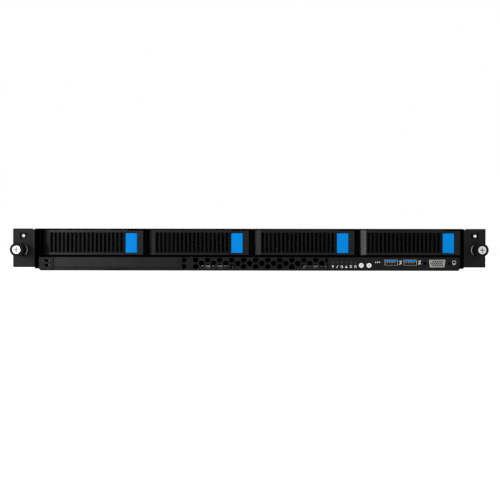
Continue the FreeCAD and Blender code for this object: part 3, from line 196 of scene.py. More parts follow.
# %% The lamps
def softbox(name, place, target, size, power):
    """A square soft lamp at a place, turned towards a target."""
    lamp_data = bpy.data.lights.new(name, "AREA")
    lamp_data.size = size
    lamp_data.energy = power
    lamp = bpy.data.objects.new(name, lamp_data)
    bpy.context.scene.collection.objects.link(lamp)
    lamp.location = place
    lamp.rotation_euler = (Vector(target) - Vector(place)).to_track_quat("-Z", "Y").to_euler()


middle = (0, 0, 0.02)
front_middle = (0, front_face, 0.02)
softbox("key_lamp", (-0.68, front_face - 0.66, 0.16), front_middle, size=0.3, power=5.0)
softbox("low_lamp", (-0.42, front_face - 0.86, 0.1), front_middle, size=0.2, power=1.2)
softbox("fill_lamp", (1.15, front_face - 0.75, 0.95), front_middle, size=0.9, power=16)
softbox("top_lamp", (0.3, 0.3, 1.9), middle, size=1.8, power=14)
softbox("back_lamp", (0.9, 1.7, 0.9), middle, size=1.4, power=13)

# %% [markdown]
# ## How a finish is made
#
# No surface of this unit is one flat colour. Powder coat has a fine orange-peel skin, moulded
# plastic has a spark texture, zinc has patches, and brushed metal has lines. They all come from the
# same few steps: take the place on the object, turn it into a noise, and let the noise lead the
# colour, the roughness and a slight relief. The helpers below are those steps, so that each finish
# reads as a short recipe. Colours are written as they look on a screen, one grey level or three
# from 0 to 255.

# %% Helpers for finishes
def screen_colour(*levels):
    """One or three levels from 0 to 255, turned into the linear values that a shader takes."""
    shares = [level / 255 for level in (levels if len(levels) == 3 else levels * 3)]
    return [share / 12.92 if share <= 0.04045 else ((share + 0.055) / 1.055) ** 2.4
            for share in shares] + [1.0]


def new_finish(name, metallic=0.0, specular=0.5):
    finish = bpy.data.materials.new(name)
    finish.use_nodes = True
    shader = finish.node_tree.nodes["Principled BSDF"]
    shader.inputs["Metallic"].default_value = metallic
    shader.inputs["Specular IOR Level"].default_value = specular
    return finish, shader


def object_place(finish, stretch=(1, 1, 1)):
    """The place on the object in metres, stretched along its axes."""
    tree = finish.node_tree
    place = tree.nodes.new("ShaderNodeTexCoord")
    mapping = tree.nodes.new("ShaderNodeMapping")
    mapping.inputs["Scale"].default_value = stretch
    tree.links.new(place.outputs["Object"], mapping.inputs["Vector"])
    return mapping.outputs["Vector"]


def pattern(finish, kind, scale, stretch):
    texture = finish.node_tree.nodes.new(kind)
    texture.inputs["Scale"].default_value = scale
    finish.node_tree.links.new(object_place(finish, stretch), texture.inputs["Vector"])
    return texture


def noise(finish, scale, detail=3.0, stretch=(1, 1, 1)):
    texture = pattern(finish, "ShaderNodeTexNoise", scale, stretch)
    texture.inputs["Detail"].default_value = detail
    return texture.outputs["Fac"]


def cells(finish, scale, stretch=(1, 1, 1)):
    return pattern(finish, "ShaderNodeTexVoronoi", scale, stretch)


def between(finish, share, low, high, start=0.3, end=0.7):
    """Turns a share into a value from low to high; either may be a number or another output."""
    step = finish.node_tree.nodes.new("ShaderNodeMapRange")
    for label, value in (("Value", share), ("From Min", start), ("From Max", end),
                         ("To Min", low), ("To Max", high)):
        feed(finish.node_tree, value, step.inputs[label])
    return step.outputs["Result"]


def blend_colours(finish, share, dark, light, start=0.3, end=0.7):
    """Turns a share into a colour from dark to light: levels, linear values or another output."""
    tree = finish.node_tree
    mix = tree.nodes.new("ShaderNodeMix")
    mix.data_type = "RGBA"
    tree.links.new(between(finish, share, 0.0, 1.0, start, end), mix.inputs["Factor"])
    for label, colour in (("A", dark), ("B", light)):
        if isinstance(colour, int):
            colour = screen_colour(colour)
        elif isinstance(colour, tuple):
            colour = screen_colour(*colour)
        socket = [item for item in mix.inputs if item.name == label and item.type == "RGBA"][0]
        feed(tree, colour, socket)
    return [item for item in mix.outputs if item.type == "RGBA"][0]


# %% Helpers that tell places and faces apart
def along(finish, axis):
    """The place on the object along one axis, X, Y or Z, in metres."""
    axes = finish.node_tree.nodes.new("ShaderNodeSeparateXYZ")
    finish.node_tree.links.new(object_place(finish), axes.inputs["Vector"])
    return axes.outputs[axis]


def in_band(finish, value, low, high):
    """1 where a value lies between two numbers, and 0 elsewhere."""
    return reckon(finish.node_tree, "COMPARE", value, (low + high) / 2, (high - low) / 2)


def facing(finish, direction):
    """How much a face looks in a direction: 1 straight at it, 0 sideways."""
    normal = finish.node_tree.nodes.new("ShaderNodeTexCoord").outputs["Normal"]
    return reckon(finish.node_tree, "DOT_PRODUCT", normal, direction, kind="ShaderNodeVectorMath")


# %% Helpers that give a finish to the shader
def paint(finish, shader, colour, roughness):
    finish.node_tree.links.new(colour, shader.inputs["Base Color"])
    finish.node_tree.links.new(roughness, shader.inputs["Roughness"])


def tell(*made):
    print("finishes:", ", ".join(finish.name for finish in made))


def relief(finish, shader, share, depth):
    """Raises the surface by a depth in metres where the share is high."""
    tree = finish.node_tree
    bump = tree.nodes.new("ShaderNodeBump")
    bump.inputs["Distance"].default_value = depth
    tree.links.new(share, bump.inputs["Height"])
    tree.links.new(bump.outputs["Normal"], shader.inputs["Normal"])


wall_turn, front_turn = 0.88, 0.97
strip_turn = 0.9
strip_direction = Vector((-0.54, -0.84, 0))


def paint_wall_shade(finish, shader, colour, rough, specular, strip_specular=None):
    """Leaves the front faces as they are and paints shade on the walls of holes and slots, dark and
    dull.
    """
    share = facing(finish, FORWARD)
    if strip_specular is not None:
        slant = facing(finish, strip_direction)
        specular = between(finish, slant, specular, strip_specular, strip_turn, front_turn)
        share = reckon(finish.node_tree, "MAXIMUM", share, slant)
    gloss = between(finish, share, 0.0, specular, wall_turn, front_turn)
    finish.node_tree.links.new(gloss, shader.inputs["Specular IOR Level"])
    return (blend_colours(finish, share, 3, colour, wall_turn, front_turn),
            between(finish, share, 0.9, rough, wall_turn, front_turn))


# %% [markdown]
# ## Powder-coated steel
#
# The covers, the ears and the panels are steel sheet under black powder coat. Powder coat melts
# into a skin with soft hills under a millimetre across, which scatter the light so that the black
# reads as a very dark grey. Two noises make it: a fine one for the hills and the roughness, and a
# wide faint one for the uneven film. The drive cage behind the front lies in shadow, and its coat
# gets painted shade, near black and dull.
# In the pierced panels no light reaches the walls of the holes, so their finish looks at the way a
# face turns: those walls get painted shade, dark and dull.

# %% Powder-coated steel
def powder_coat(name, dark, light, specular, smoothest, roughest, painted_wall_shade=False):
    finish, shader = new_finish(name, specular=specular)
    hills = noise(finish, scale=900.0, detail=2.0)
    film = noise(finish, scale=14.0, detail=5.0)
    colour = blend_colours(finish, film, dark, light)
    rough = between(finish, hills, smoothest, roughest)
    # Painted shade: the walls of the holes are made dark and dull.
    if painted_wall_shade:
        colour, rough = paint_wall_shade(finish, shader, colour, rough, specular)
    paint(finish, shader, colour, rough)
    relief(finish, shader, hills, depth=0.000025)
    return finish


black_steel = powder_coat("powder_coated_steel", (14, 15, 16), (20, 21, 22), 0.08, 0.38, 0.52)
panel_steel = powder_coat("powder_coated_panels", (11, 12, 13), (17, 18, 19), 0.09, 0.36, 0.5,
                          painted_wall_shade=True)
# Painted shade: the drive cage lies in shadow behind the front, so its coat is near black and dull.
cage_steel = powder_coat("cage_coat_in_painted_shade", 3, 6, 0.01, 0.6, 0.8)
# A dull black: painted shade in the strips over the seams of the front, and the baffle under the
# drives.
painted_shade_black = powder_coat("dull_black_painted_shade", 1, 3, 0.0, 0.85, 0.98)
tell(black_steel, panel_steel, cage_steel, painted_shade_black)

# %% [markdown]
# ## Moulded plastics
#
# The carriers and their levers are moulded in black plastic with a spark-eroded texture: the mould
# was etched, so the part has tiny pits instead of hills. Cells of a Voronoi pattern make pits well.
# Behind the slotted levers the carriers end in a mesh that hardly any light reaches, so its finish
# looks at how far behind the front it is: painted light gives the mesh a lighter grey with almost
# no gloss. The bars between the slots of a lever get painted shade, darker and less glossy than the
# rails over and under them, so the finish of the levers looks at the height as well.

# %% Spark-textured black plastics
mesh_depth, mesh_fade, mesh_painted_light_grey = 13.0, 0.4, 34
slot_bottom, slot_top = 18.2, 39.1
bar_shade_grey, bar_shine = 7, 0.5


def spark_plastic(name, dark, light, specular, smoothest, roughest, pits_per_metre=1600.0,
                  dull_behind=None, painted_wall_shade=False, strip_specular=None, painted_shade_band=None):
    finish, shader = new_finish(name, specular=specular)
    pits = cells(finish, pits_per_metre)
    cloud = noise(finish, scale=30.0, detail=4.0)
    colour = blend_colours(finish, cloud, dark, light)
    rough = between(finish, cloud, smoothest, roughest)
    # Painted light on the mesh behind the front: a lighter grey with almost no gloss, set for the
    # little light that reaches it.
    if dull_behind is not None:
        ends = (dull_behind, dull_behind + mesh_fade * mm)
        colour = blend_colours(finish, along(finish, "Y"), colour, mesh_painted_light_grey, *ends)
        rough = between(finish, along(finish, "Y"), rough, 0.95, *ends)
        gloss = between(finish, along(finish, "Y"), specular, 0.01, *ends)
        finish.node_tree.links.new(gloss, shader.inputs["Specular IOR Level"])
    # Painted shade on the bars between the slots: darker, with half the specular.
    if painted_shade_band is not None:
        band = in_band(finish, along(finish, "Z"), *painted_shade_band)
        colour = blend_colours(finish, band, colour, bar_shade_grey, 0.0, 1.0)
        specular = between(finish, band, specular, bar_shine * specular, 0.0, 1.0)
    # Painted shade: the walls of the slots are made dark and dull.
    if painted_wall_shade:
        colour, rough = paint_wall_shade(finish, shader, colour, rough, specular, strip_specular)
    paint(finish, shader, colour, rough)
    relief(finish, shader, pits.outputs["Distance"], depth=0.000018)
    return finish


carrier_plastic = spark_plastic("carrier_plastic", (14, 15, 16), (20, 21, 22), 0.1, 0.32, 0.42,
                                dull_behind=(front + mesh_depth) * mm)
lever_plastic = spark_plastic("lever_plastic", (11, 12, 13), (16, 17, 18), 0.11, 0.26, 0.34,
                              painted_wall_shade=True, strip_specular=0.2,
                              painted_shade_band=(slot_bottom * mm, slot_top * mm))
panel_plastic = spark_plastic("blank_panel_plastic", (11, 12, 13), (15, 16, 17), 0.12, 0.28, 0.36)
knob_plastic = spark_plastic("knob_plastic", 5, 9, 0.06, 0.38, 0.55)
fan_plastic = spark_plastic("fan_plastic", 16, 25, 0.2, 0.4, 0.55, pits_per_metre=900.0)
inner_plastic = spark_plastic("inner_block_plastic", 8, 14, 0.02, 0.6, 0.8, pits_per_metre=900.0)
tell(carrier_plastic, lever_plastic, panel_plastic, knob_plastic, fan_plastic, inner_plastic)

# %% [markdown]
# The blue tabs, the white buttons and the supply latches are smoother than the carriers. A faint
# flow pattern, drawn out along one axis, leads their colour, and a very fine one breaks up the
# shine. Printing ink and label paper are made the same way.

# %% Smooth coloured plastics, ink and paper
def smooth_plastic(name, dark, light, specular, smoothest, roughest):
    finish, shader = new_finish(name, specular=specular)
    flow = noise(finish, scale=60.0, detail=3.0, stretch=(1.0, 1.0, 0.35))
    skin = noise(finish, scale=1800.0, detail=2.0)
    paint(finish, shader, blend_colours(finish, flow, dark, light),
          between(finish, skin, smoothest, roughest))
    relief(finish, shader, skin, depth=0.00001)
    return finish


tab_blue = smooth_plastic("tab_blue_plastic", (0, 119, 199), (0, 127, 208), 0.04, 0.4, 0.52)
latch_plastic = smooth_plastic("latch_blue_plastic", (2, 104, 184), (6, 118, 200), 0.3, 0.32, 0.44)
button_white = smooth_plastic("button_white_plastic", (214, 214, 211), (230, 230, 227),
                              0.3, 0.3, 0.42)
print_white = smooth_plastic("printed_white_ink", 196, 216, 0.1, 0.5, 0.6)
print_grey = smooth_plastic("printed_grey_ink", 118, 134, 0.1, 0.5, 0.6)
paper_label = smooth_plastic("label_paper", (206, 205, 198), (222, 221, 214), 0.2, 0.55, 0.7)
cable_plastic = smooth_plastic("connector_plastic", 52, 62, 0.2, 0.45, 0.6)
tell(tab_blue, latch_plastic, button_white, print_white, print_grey, paper_label, cable_plastic)

# %% [markdown]
# ## Bare and plated metals
#
# The rear panel, the supplies and the fan wall are zinc-plated sheet, whose crystals show as faint
# angular patches, stretched the way the coil was rolled. The handle of a supply stands behind its
# case and is black, so that finish looks at the depth. The screw heads are turned and polished, so
# their lines run round the axis; a noise that is drawn out along one direction is enough at this
# size. The socket shells are nickel, warm and nearly smooth, and the heatsinks are milled
# aluminium.

# %% Zinc-plated sheet
handle_fade, handle_grey = 0.2, 26


def zinc_sheet(name, dark, light, black_behind=None):
    finish, shader = new_finish(name, metallic=1.0)
    crystals = cells(finish, 150.0, (1.0, 0.55, 1.0))
    rolled = noise(finish, scale=260.0, detail=4.0, stretch=(1.0, 0.06, 1.0))
    patches = between(finish, crystals.outputs["Color"], 0.0, 1.0, 0.1, 0.9)
    colour = blend_colours(finish, patches, dark, light, 0.0, 1.0)
    rough = between(finish, rolled, 0.3, 0.48)
    if black_behind is not None:
        ends = (black_behind, black_behind + handle_fade * mm)
        colour = blend_colours(finish, along(finish, "Y"), colour, handle_grey, *ends)
        rough = between(finish, along(finish, "Y"), rough, 0.5, *ends)
        metal = between(finish, along(finish, "Y"), 1.0, 0.0, *ends)
        finish.node_tree.links.new(metal, shader.inputs["Metallic"])
    paint(finish, shader, colour, rough)
    relief(finish, shader, rolled, depth=0.000012)
    return finish


plated_steel = zinc_sheet("zinc_plated_sheet", (176, 179, 182), (200, 202, 204))
supply_case = zinc_sheet("supply_case_and_handle", (170, 173, 176), (196, 198, 200),
                         black_behind=(rear + handle_fade) * mm)
# Painted shade: a dark grey copy of zinc for the lips behind the vent, which lie in shadow.
painted_shade_zinc = zinc_sheet("zinc_in_painted_shade_behind_the_vent", 52, 66)
spring_metal = zinc_sheet("brown_spring_plating", (58, 48, 34), (74, 62, 45))
tell(plated_steel, supply_case, painted_shade_zinc, spring_metal)

# %% [markdown]
# Turned, nickel-plated and milled metal share one recipe with other colours and line directions.

# %% Turned steel, nickel, aluminium and gold
def drawn_metal(name, dark, light, stretch, lines_per_metre, smoothest, roughest, depth):
    finish, shader = new_finish(name, metallic=1.0)
    lines = noise(finish, scale=lines_per_metre, detail=3.0, stretch=stretch)
    tarnish = noise(finish, scale=90.0, detail=4.0)
    paint(finish, shader, blend_colours(finish, tarnish, dark, light),
          between(finish, lines, smoothest, roughest))
    relief(finish, shader, lines, depth)
    return finish


bright_steel = drawn_metal("turned_steel", (176, 175, 172), (204, 203, 200),
                           (1, 0.1, 1), 900.0, 0.2, 0.36, 0.00001)
nickel = drawn_metal("nickel_plating", (152, 143, 124), (178, 168, 148),
                     (1, 1, 1), 400.0, 0.24, 0.36, 0.000006)
aluminium = drawn_metal("milled_aluminium", (190, 191, 193), (212, 213, 215),
                        (1, 0.05, 1), 700.0, 0.28, 0.44, 0.00001)
gold = drawn_metal("gold_plating", (150, 108, 54), (176, 134, 74),
                   (1, 0.2, 1), 800.0, 0.26, 0.38, 0.000004)
tell(bright_steel, nickel, aluminium, gold)

# %% [markdown]
# Three kinds of part need a finish that changes within the part. A disk drive is a casting with a
# black coat under a bright stamped lid, so its finish looks at the height. The small latch pin in
# each ear window is turned steel, and the plate behind it lies in the shadow of the window and gets
# painted shade, near black, so that finish looks at the depth.

# %% Drive case and latch plate
drive_top = span("drive_1")[1].z
lid_thickness = 1.0
drive_case, drive_shader = new_finish("drive_coat_and_lid", specular=0.01)
drive_cloud = noise(drive_case, scale=120.0, detail=4.0)
drive_ends = ((drive_top - lid_thickness - 0.2) * mm, (drive_top - lid_thickness) * mm)
paint(drive_case, drive_shader,
      blend_colours(drive_case, along(drive_case, "Z"),
                    blend_colours(drive_case, drive_cloud, 3, 6),
                    blend_colours(drive_case, drive_cloud, 186, 208), *drive_ends),
      between(drive_case, drive_cloud, 0.36, 0.5))
drive_case.node_tree.links.new(between(drive_case, along(drive_case, "Z"), 0.0, 1.0, *drive_ends),
                               drive_shader.inputs["Metallic"])

pin_depth = 1.6
# Painted shade: the plate behind the pin is dark from a depth on, and the pin in front is bright
# steel.
latch_steel, latch_shader = new_finish("pin_and_plate_in_painted_shade", specular=0.04)
latch_cloud = noise(latch_steel, scale=500.0)
latch_ends = (front_face + pin_depth * mm, front_face + (pin_depth + 0.3) * mm)
paint(latch_steel, latch_shader,
      blend_colours(latch_steel, along(latch_steel, "Y"),
                    blend_colours(latch_steel, latch_cloud, 214, 232),
                    blend_colours(latch_steel, latch_cloud, 10, 16), *latch_ends),
      between(latch_steel, latch_cloud, 0.3, 0.45))
tell(drive_case, latch_steel)

# %% [markdown]
# The thumbscrews are the third kind: painted shade makes the cross recess a mid grey, and the rim
# of the head, which is pressed into the knob, near black. The recess lies between two depths. The
# rim is a distance from the axis; left and right are folded onto each other to measure it once.

# %% Thumbscrews
screw_low, screw_high = span("left_thumbscrew")
recess_start = (screw_low.y + 0.45) * mm
recess_end = (screw_low.y + 3.0) * mm
rim_start = 3.85 * mm
screw_axis = Vector((abs(screw_low.x + screw_high.x) / 2, 0, (screw_low.z + screw_high.z) / 2)) * mm
screw_steel, screw_shader = new_finish("thumbscrew_steel", metallic=1.0)
screw_tree = screw_steel.node_tree
screw_cloud = noise(screw_steel, scale=700.0, stretch=(1, 0.1, 1))
folded = reckon(screw_tree, "ABSOLUTE", object_place(screw_steel),
                kind="ShaderNodeVectorMath", result="Vector")
flattened = reckon(screw_tree, "MULTIPLY", folded, (1, 0, 1),
                   kind="ShaderNodeVectorMath", result="Vector")
from_axis = reckon(screw_tree, "DISTANCE", flattened, screw_axis, kind="ShaderNodeVectorMath")
# Painted shade: the rim of the head near black, and the cross recess a mid grey between two depths.
screw_bright = blend_colours(screw_steel, from_axis,
                             blend_colours(screw_steel, screw_cloud, 168, 196), 10,
                             rim_start, rim_start + 0.15 * mm)
screw_colour = blend_colours(screw_steel, along(screw_steel, "Y"), screw_bright, 96,
                             recess_start, recess_start + 0.15 * mm)
paint(screw_steel, screw_shader,
      blend_colours(screw_steel, along(screw_steel, "Y"), screw_colour, screw_bright,
                    recess_end, recess_end + 0.2 * mm),
      between(screw_steel, screw_cloud, 0.24, 0.4))
tell(screw_steel)

# %% [markdown]
# ## Boards, inserts and clear parts
#
# A circuit board is a dark green film over copper: the tracks underneath show as slightly lighter
# lines, here the narrow borders of square cells. The light guides are smoky plastic, unlit in the
# photograph, so they are dark with a clear skin.

# %% Circuit boards
def board_finish(name, mask, track, tracks_per_metre):
    finish, shader = new_finish(name, specular=0.4)
    tracks = cells(finish, tracks_per_metre)
    tracks.distance = "CHEBYCHEV"
    tracks.feature = "F1"
    cloud = noise(finish, scale=45.0, detail=4.0)
    lighter = [value * 1.35 for value in screen_colour(*mask)[:3]] + [1.0]
    base = blend_colours(finish, cloud, mask, lighter)
    colour = blend_colours(finish, tracks.outputs["Distance"], track, base, 0.05, 0.16)
    paint(finish, shader, colour, between(finish, cloud, 0.3, 0.42))
    edge = between(finish, tracks.outputs["Distance"], 1.0, 0.0, 0.05, 0.2)
    relief(finish, shader, edge, depth=0.00002)
    return finish


circuit_board = board_finish("green_solder_mask", (16, 66, 38), (70, 120, 62), 220.0)
memory_board = board_finish("memory_solder_mask", (14, 52, 34), (52, 92, 56), 420.0)

# %% Light guides and lamps
def lens_plastic(name, dark, light, specular):
    finish, shader = new_finish(name, specular=specular)
    haze = noise(finish, scale=500.0)
    paint(finish, shader, blend_colours(finish, haze, dark, light),
          between(finish, haze, 0.1, 0.22))
    return finish


light_pipe = lens_plastic("smoky_light_guide", (30, 28, 24), (46, 43, 37), 0.3)
lamp_green = lens_plastic("green_lamp_lens", (70, 150, 70), (96, 178, 90), 0.5)
lamp_amber = lens_plastic("amber_lamp_lens", (190, 130, 40), (214, 152, 56), 0.5)
tell(circuit_board, memory_board, light_pipe, lamp_green, lamp_amber)

# %% [markdown]
# ## The socket inserts
#
# One node of the drawing holds two kinds of plastic: the blue tongues of the two USB sockets and
# the pale block of the video socket. The finish looks at where it is: left of a line between the
# sockets it is blue, right of it light grey. Below the tongues, where little light gets in, the
# blue turns to navy.

# %% Socket insert finish
video_insert_reach = 20.0
blue_until = (span("socket_inserts")[1].x - video_insert_reach) * mm
navy_below = 8.9 * mm
insert_plastic, insert_shader = new_finish("socket_insert_plastic", specular=0.02)
insert_cloud = noise(insert_plastic, scale=300.0)
insert_blue = blend_colours(insert_plastic, insert_cloud, (0, 126, 206), (6, 142, 222))
insert_blue = blend_colours(insert_plastic, along(insert_plastic, "Z"), (2, 26, 62), insert_blue,
                            navy_below, navy_below + 0.2 * mm)
insert_pale = blend_colours(insert_plastic, insert_cloud, (138, 138, 142), (158, 158, 162))
paint(insert_plastic, insert_shader,
      blend_colours(insert_plastic, along(insert_plastic, "X"), insert_blue, insert_pale,
                    blue_until, blue_until + mm),
      between(insert_plastic, insert_cloud, 0.35, 0.5))
print("inserts are blue up to x", round(blue_until / mm, 1), "mm")

# %% [markdown]
# ## Dressing the drawing's own parts
#
# The record of the object names a material slot for every node, so the finishes are handed out by
# slot. The meshes themselves stay untouched; a stack of modifiers on each of them gives the sheet
# its real edge. The mesh of a drawing has dead sharp corners, which look like paper, while sheet
# metal and mouldings have a rounding of a few tenths of a millimetre that shows as a thin bright
# line. Weld joins the split corners, the flat faces are merged, and a bevel of two steps rounds
# what is left. A weighted normal keeps the flats flat. The rear panel leaves only a thin strip of
# sheet over the supplies, and merging would spoil that face, so its flats aren't merged. The supply
# cases keep their folded edges as drawn.

# %% Hand out the finishes
finishes = {"black_steel": black_steel, "cage_steel": cage_steel, "plated_steel": plated_steel,
            "bright_steel": bright_steel, "nickel": nickel, "carrier_plastic": carrier_plastic,
            "panel_plastic": panel_plastic, "knob_plastic": knob_plastic, "tab_blue": tab_blue,
            "insert_plastic": insert_plastic, "button_white": button_white,
            "light_pipe": light_pipe, "circuit_board": circuit_board,
            "memory_board": memory_board, "aluminium": aluminium, "fan_plastic": fan_plastic,
            "latch_plastic": latch_plastic}
own_finish = {"ear_latch_plates": latch_steel,
              "power_supply_1": supply_case, "power_supply_2": supply_case,
              "left_thumbscrew": screw_steel, "right_thumbscrew": screw_steel,
              "vent_panel": panel_steel, "io_panel": panel_steel, "front_left_bracket": panel_steel}
for bay in BAYS:
    own_finish["drive_%d" % bay] = drive_case
    own_finish["carrier_lever_%d" % bay] = lever_plastic
print("finishes by slot", len(finishes), "by node", len(own_finish))

# %% Round the edges
hair_edge, fine_edge, cover_edge, moulded_edge = 0.07, 0.12, 0.15, 0.18
usual_edge, folded_edge, soft_edge = 0.25, 0.4, 0.45
edge_of_slot = {"nickel": fine_edge, "light_pipe": fine_edge, "insert_plastic": fine_edge,
                "memory_board": fine_edge, "aluminium": fine_edge, "tab_blue": soft_edge,
                "button_white": soft_edge, "latch_plastic": soft_edge,
                "carrier_plastic": moulded_edge}
edge_of_node = {"vent_panel": hair_edge, "rear_panel": hair_edge, "io_panel": fine_edge,
                "front_left_bracket": fine_edge, "slim_bay_blank": fine_edge,
                "top_cover": fine_edge, "front_top_cover": cover_edge, "chassis_tray": folded_edge}
unmerged = ("rear_panel",)
left_sharp = ("power_supply_1", "power_supply_2")


def join_corners(piece):
    weld = piece.modifiers.new("join_corners", "WELD")
    weld.merge_threshold = 1e-6


def round_edges(piece, width, merge=True):
    """Rounds the sharp edges of a piece by a width in millimetres."""
    join_corners(piece)
    if merge:
        flat = piece.modifiers.new("merge_flats", "DECIMATE")
        flat.decimate_type = "DISSOLVE"
        flat.angle_limit = math.radians(0.5)
    bevel = piece.modifiers.new("round_edges", "BEVEL")
    bevel.width = width * mm
    bevel.segments = 2
    bevel.limit_method = "ANGLE"
    bevel.angle_limit = math.radians(40)
    bevel.use_clamp_overlap = True
    normal = piece.modifiers.new("flat_faces", "WEIGHTED_NORMAL")
    normal.keep_sharp = True


for part in frame["record"]["subparts"]:
    name, slot = part["node"], part["material_slot"]
    node = frame["nodes"][name]
    node.data.materials.clear()
    node.data.materials.append(own_finish.get(name, finishes[slot]))
    if name not in left_sharp:
        width = edge_of_node.get(name, edge_of_slot.get(slot, usual_edge))
        round_edges(node, width, merge=name not in unmerged)

# %% [markdown]
# ## How an added piece is drawn
#
# The small parts that a drawing leaves out are drawn here, most of them by one of three moves. A
# screw or a lens is turned: a profile of radii and heights goes round an axis. A tab, a label or a
# printed mark is an outline with a thickness. A raised border is an outline with a hole. Each move
# takes a place and the direction the piece faces, so the same screw can sit on the front, on a side
# or on top. A finished piece is shrunk to metres, gets its finish and its soft edges, and is told
# which moving body it rides on.

# %% Places and outlines
def spot(x, depth, z):
    """A place x to the right, depth behind the front face and z above the floor, in millimetres."""
    return Vector((x, front + depth, z))


def centre_of(node):
    low, high = span(node)
    return [(least + most) / 2 for least, most in zip(low, high)]


def block(width, height, x=0.0, z=0.0):
    """The four corners of a rectangle round a centre."""
    return [(x - width / 2, z - height / 2), (x + width / 2, z - height / 2),
            (x + width / 2, z + height / 2), (x - width / 2, z + height / 2)]


def rounded(width, height, radius, x=0.0, z=0.0, steps=5):
    """A rectangle with round corners."""
    corners = []
    for quarter, (side, up) in enumerate(((1, 1), (-1, 1), (-1, -1), (1, -1))):
        for step in range(steps):
            turn = math.pi / 2 * (quarter + step / (steps - 1))
            corners.append((x + side * (width / 2 - radius) + radius * math.cos(turn),
                            z + up * (height / 2 - radius) + radius * math.sin(turn)))
    return corners


def disc(radius, x=0.0, z=0.0, steps=5):
    return rounded(2 * radius, 2 * radius, radius, x, z, steps)


def arch(width, height, line):
    """A round arch on two legs."""
    wide = width / 2
    level = height / 2 - wide
    turns = [math.pi * step / 8 for step in range(9)]
    outer = [(wide * math.cos(turn), level + wide * math.sin(turn)) for turn in turns]
    inner = [((wide - line) * math.cos(turn), level + (wide - line) * math.sin(turn))
             for turn in reversed(turns)]
    return ([(wide, -height / 2)] + outer + [(-wide, -height / 2), (line - wide, -height / 2)]
            + inner + [(wide - line, -height / 2)])


# %% Turned pieces
def sides_of(out):
    """Two directions that are square to the one a piece faces."""
    up = Vector((0, 1, 0)) if abs(out.z) > 0.5 else UPWARD
    across = up.cross(out).normalized()
    return across, out.cross(across)


def add_turned(work, place, out, profile, steps=24):
    """Turns pairs of radius and height round the direction out; both ends lie on the axis."""
    across, second = sides_of(out)
    turns = [2 * math.pi * step / steps for step in range(steps)]
    rings = []
    for radius, height in profile:
        centre = place + out * height
        ring = [centre + (across * math.cos(turn) + second * math.sin(turn)) * radius
                for turn in (turns if radius else turns[:1])]
        rings.append([work.verts.new(corner) for corner in ring])
    for lower, upper in zip(rings, rings[1:]):
        for step in range(steps):
            after = (step + 1) % steps
            corners = [lower[step % len(lower)], lower[after % len(lower)],
                       upper[after % len(upper)], upper[step % len(upper)]]
            work.faces.new(list(dict.fromkeys(corners)))


# %% Plates and frames
def add_wall(work, lower, upper):
    """Joins two rings that have the same number of corners."""
    for step in range(len(lower)):
        after = (step + 1) % len(lower)
        work.faces.new([lower[step], lower[after], upper[after], upper[step]])


def add_plate(work, place, out, outline, thick):
    """Thickens an outline in the direction out."""
    across, second = sides_of(out)
    lower = [work.verts.new(place + across * a + second * b) for a, b in outline]
    upper = [work.verts.new(corner.co + out * thick) for corner in lower]
    work.faces.new(lower[::-1])
    work.faces.new(upper)
    add_wall(work, lower, upper)


def add_plates(work, place, out, outlines, thick):
    for outline in outlines:
        add_plate(work, place, out, outline, thick)


def add_frame(work, place, out, outer, inner, thick):
    """Thickens the strip between two outlines with the same number of corners."""
    across, second = sides_of(out)
    loops = [[work.verts.new(place + across * a + second * b + out * height) for a, b in outline]
             for outline in (outer, inner) for height in (0, thick)]
    outer_low, outer_high, inner_low, inner_high = loops
    for one, other in ((outer_high, inner_high), (outer_low, inner_low), (outer_low, outer_high),
                       (inner_low, inner_high)):
        add_wall(work, one, other)


# %% Finish a piece and let it ride on a body
def bake_mesh(work, name):
    """Turns a drawing in millimetres into a mesh in metres."""
    bmesh.ops.recalc_face_normals(work, faces=work.faces)
    bmesh.ops.scale(work, vec=(mm, mm, mm), verts=work.verts)
    mesh = bpy.data.meshes.new(name)
    work.to_mesh(mesh)
    work.free()
    return mesh


def new_object(name, mesh):
    piece = bpy.data.objects.new(name, mesh)
    bpy.context.scene.collection.objects.link(piece)
    return piece


def add_piece(name, work, finish, body, edge=0):
    """Closes a drawing into a piece of the model."""
    piece = new_object(name, bake_mesh(work, name))
    piece.data.materials.append(finish)
    if edge:
        round_edges(piece, edge)
    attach(piece, body)
    print("added", name, "with", len(piece.data.polygons), "faces, riding on", body)


# %% A screw head with a cross
head_rings = ((1.0, 0.0), (1.0, 0.4), (0.9, 0.8), (0.7, 1.0))
cross_tip, cross_half, cross_taper = 0.56, 0.14, 0.6


def add_cross_screw(work, place, out, radius, high, sunk, steps=24):
    """A low round head whose recess is a cross with slanted walls."""
    across, second = sides_of(out)

    def corner(a, b, height):
        return work.verts.new(place + across * a + second * b + out * height)

    rings = [[corner(share * radius * math.cos(2 * math.pi * step / steps),
                     share * radius * math.sin(2 * math.pi * step / steps), level * high)
              for step in range(steps)] for share, level in head_rings]
    work.faces.new(rings[0][::-1])
    for lower, upper in zip(rings, rings[1:]):
        add_wall(work, lower, upper)
    tip, half = radius * cross_tip, radius * cross_half
    cross = []
    for cosine, sine in ((1, 0), (0, 1), (-1, 0), (0, -1)):
        cross += [(a * cosine - b * sine, a * sine + b * cosine)
                  for a, b in ((tip, 0), (tip, half), (half, half), (half, tip))]
    edge = [corner(a, b, high) for a, b in cross]
    bottom = [corner(a * cross_taper, b * cross_taper, high - sunk) for a, b in cross]
    for quarter in range(4):
        arc = [rings[-1][(quarter * steps // 4 + step) % steps] for step in range(steps // 4 + 1)]
        work.faces.new(arc + [edge[(quarter * 4 + step) % 16] for step in reversed(range(5))])
    add_wall(work, edge, bottom)
    work.faces.new(bottom)


def add_screws(name, places, out, radius, high, body, sunk=0.6):
    """One piece that has a screw head at each place."""
    work = bmesh.new()
    for place in places:
        add_cross_screw(work, place, out, radius, high, sunk)
    add_piece(name, work, bright_steel, body)


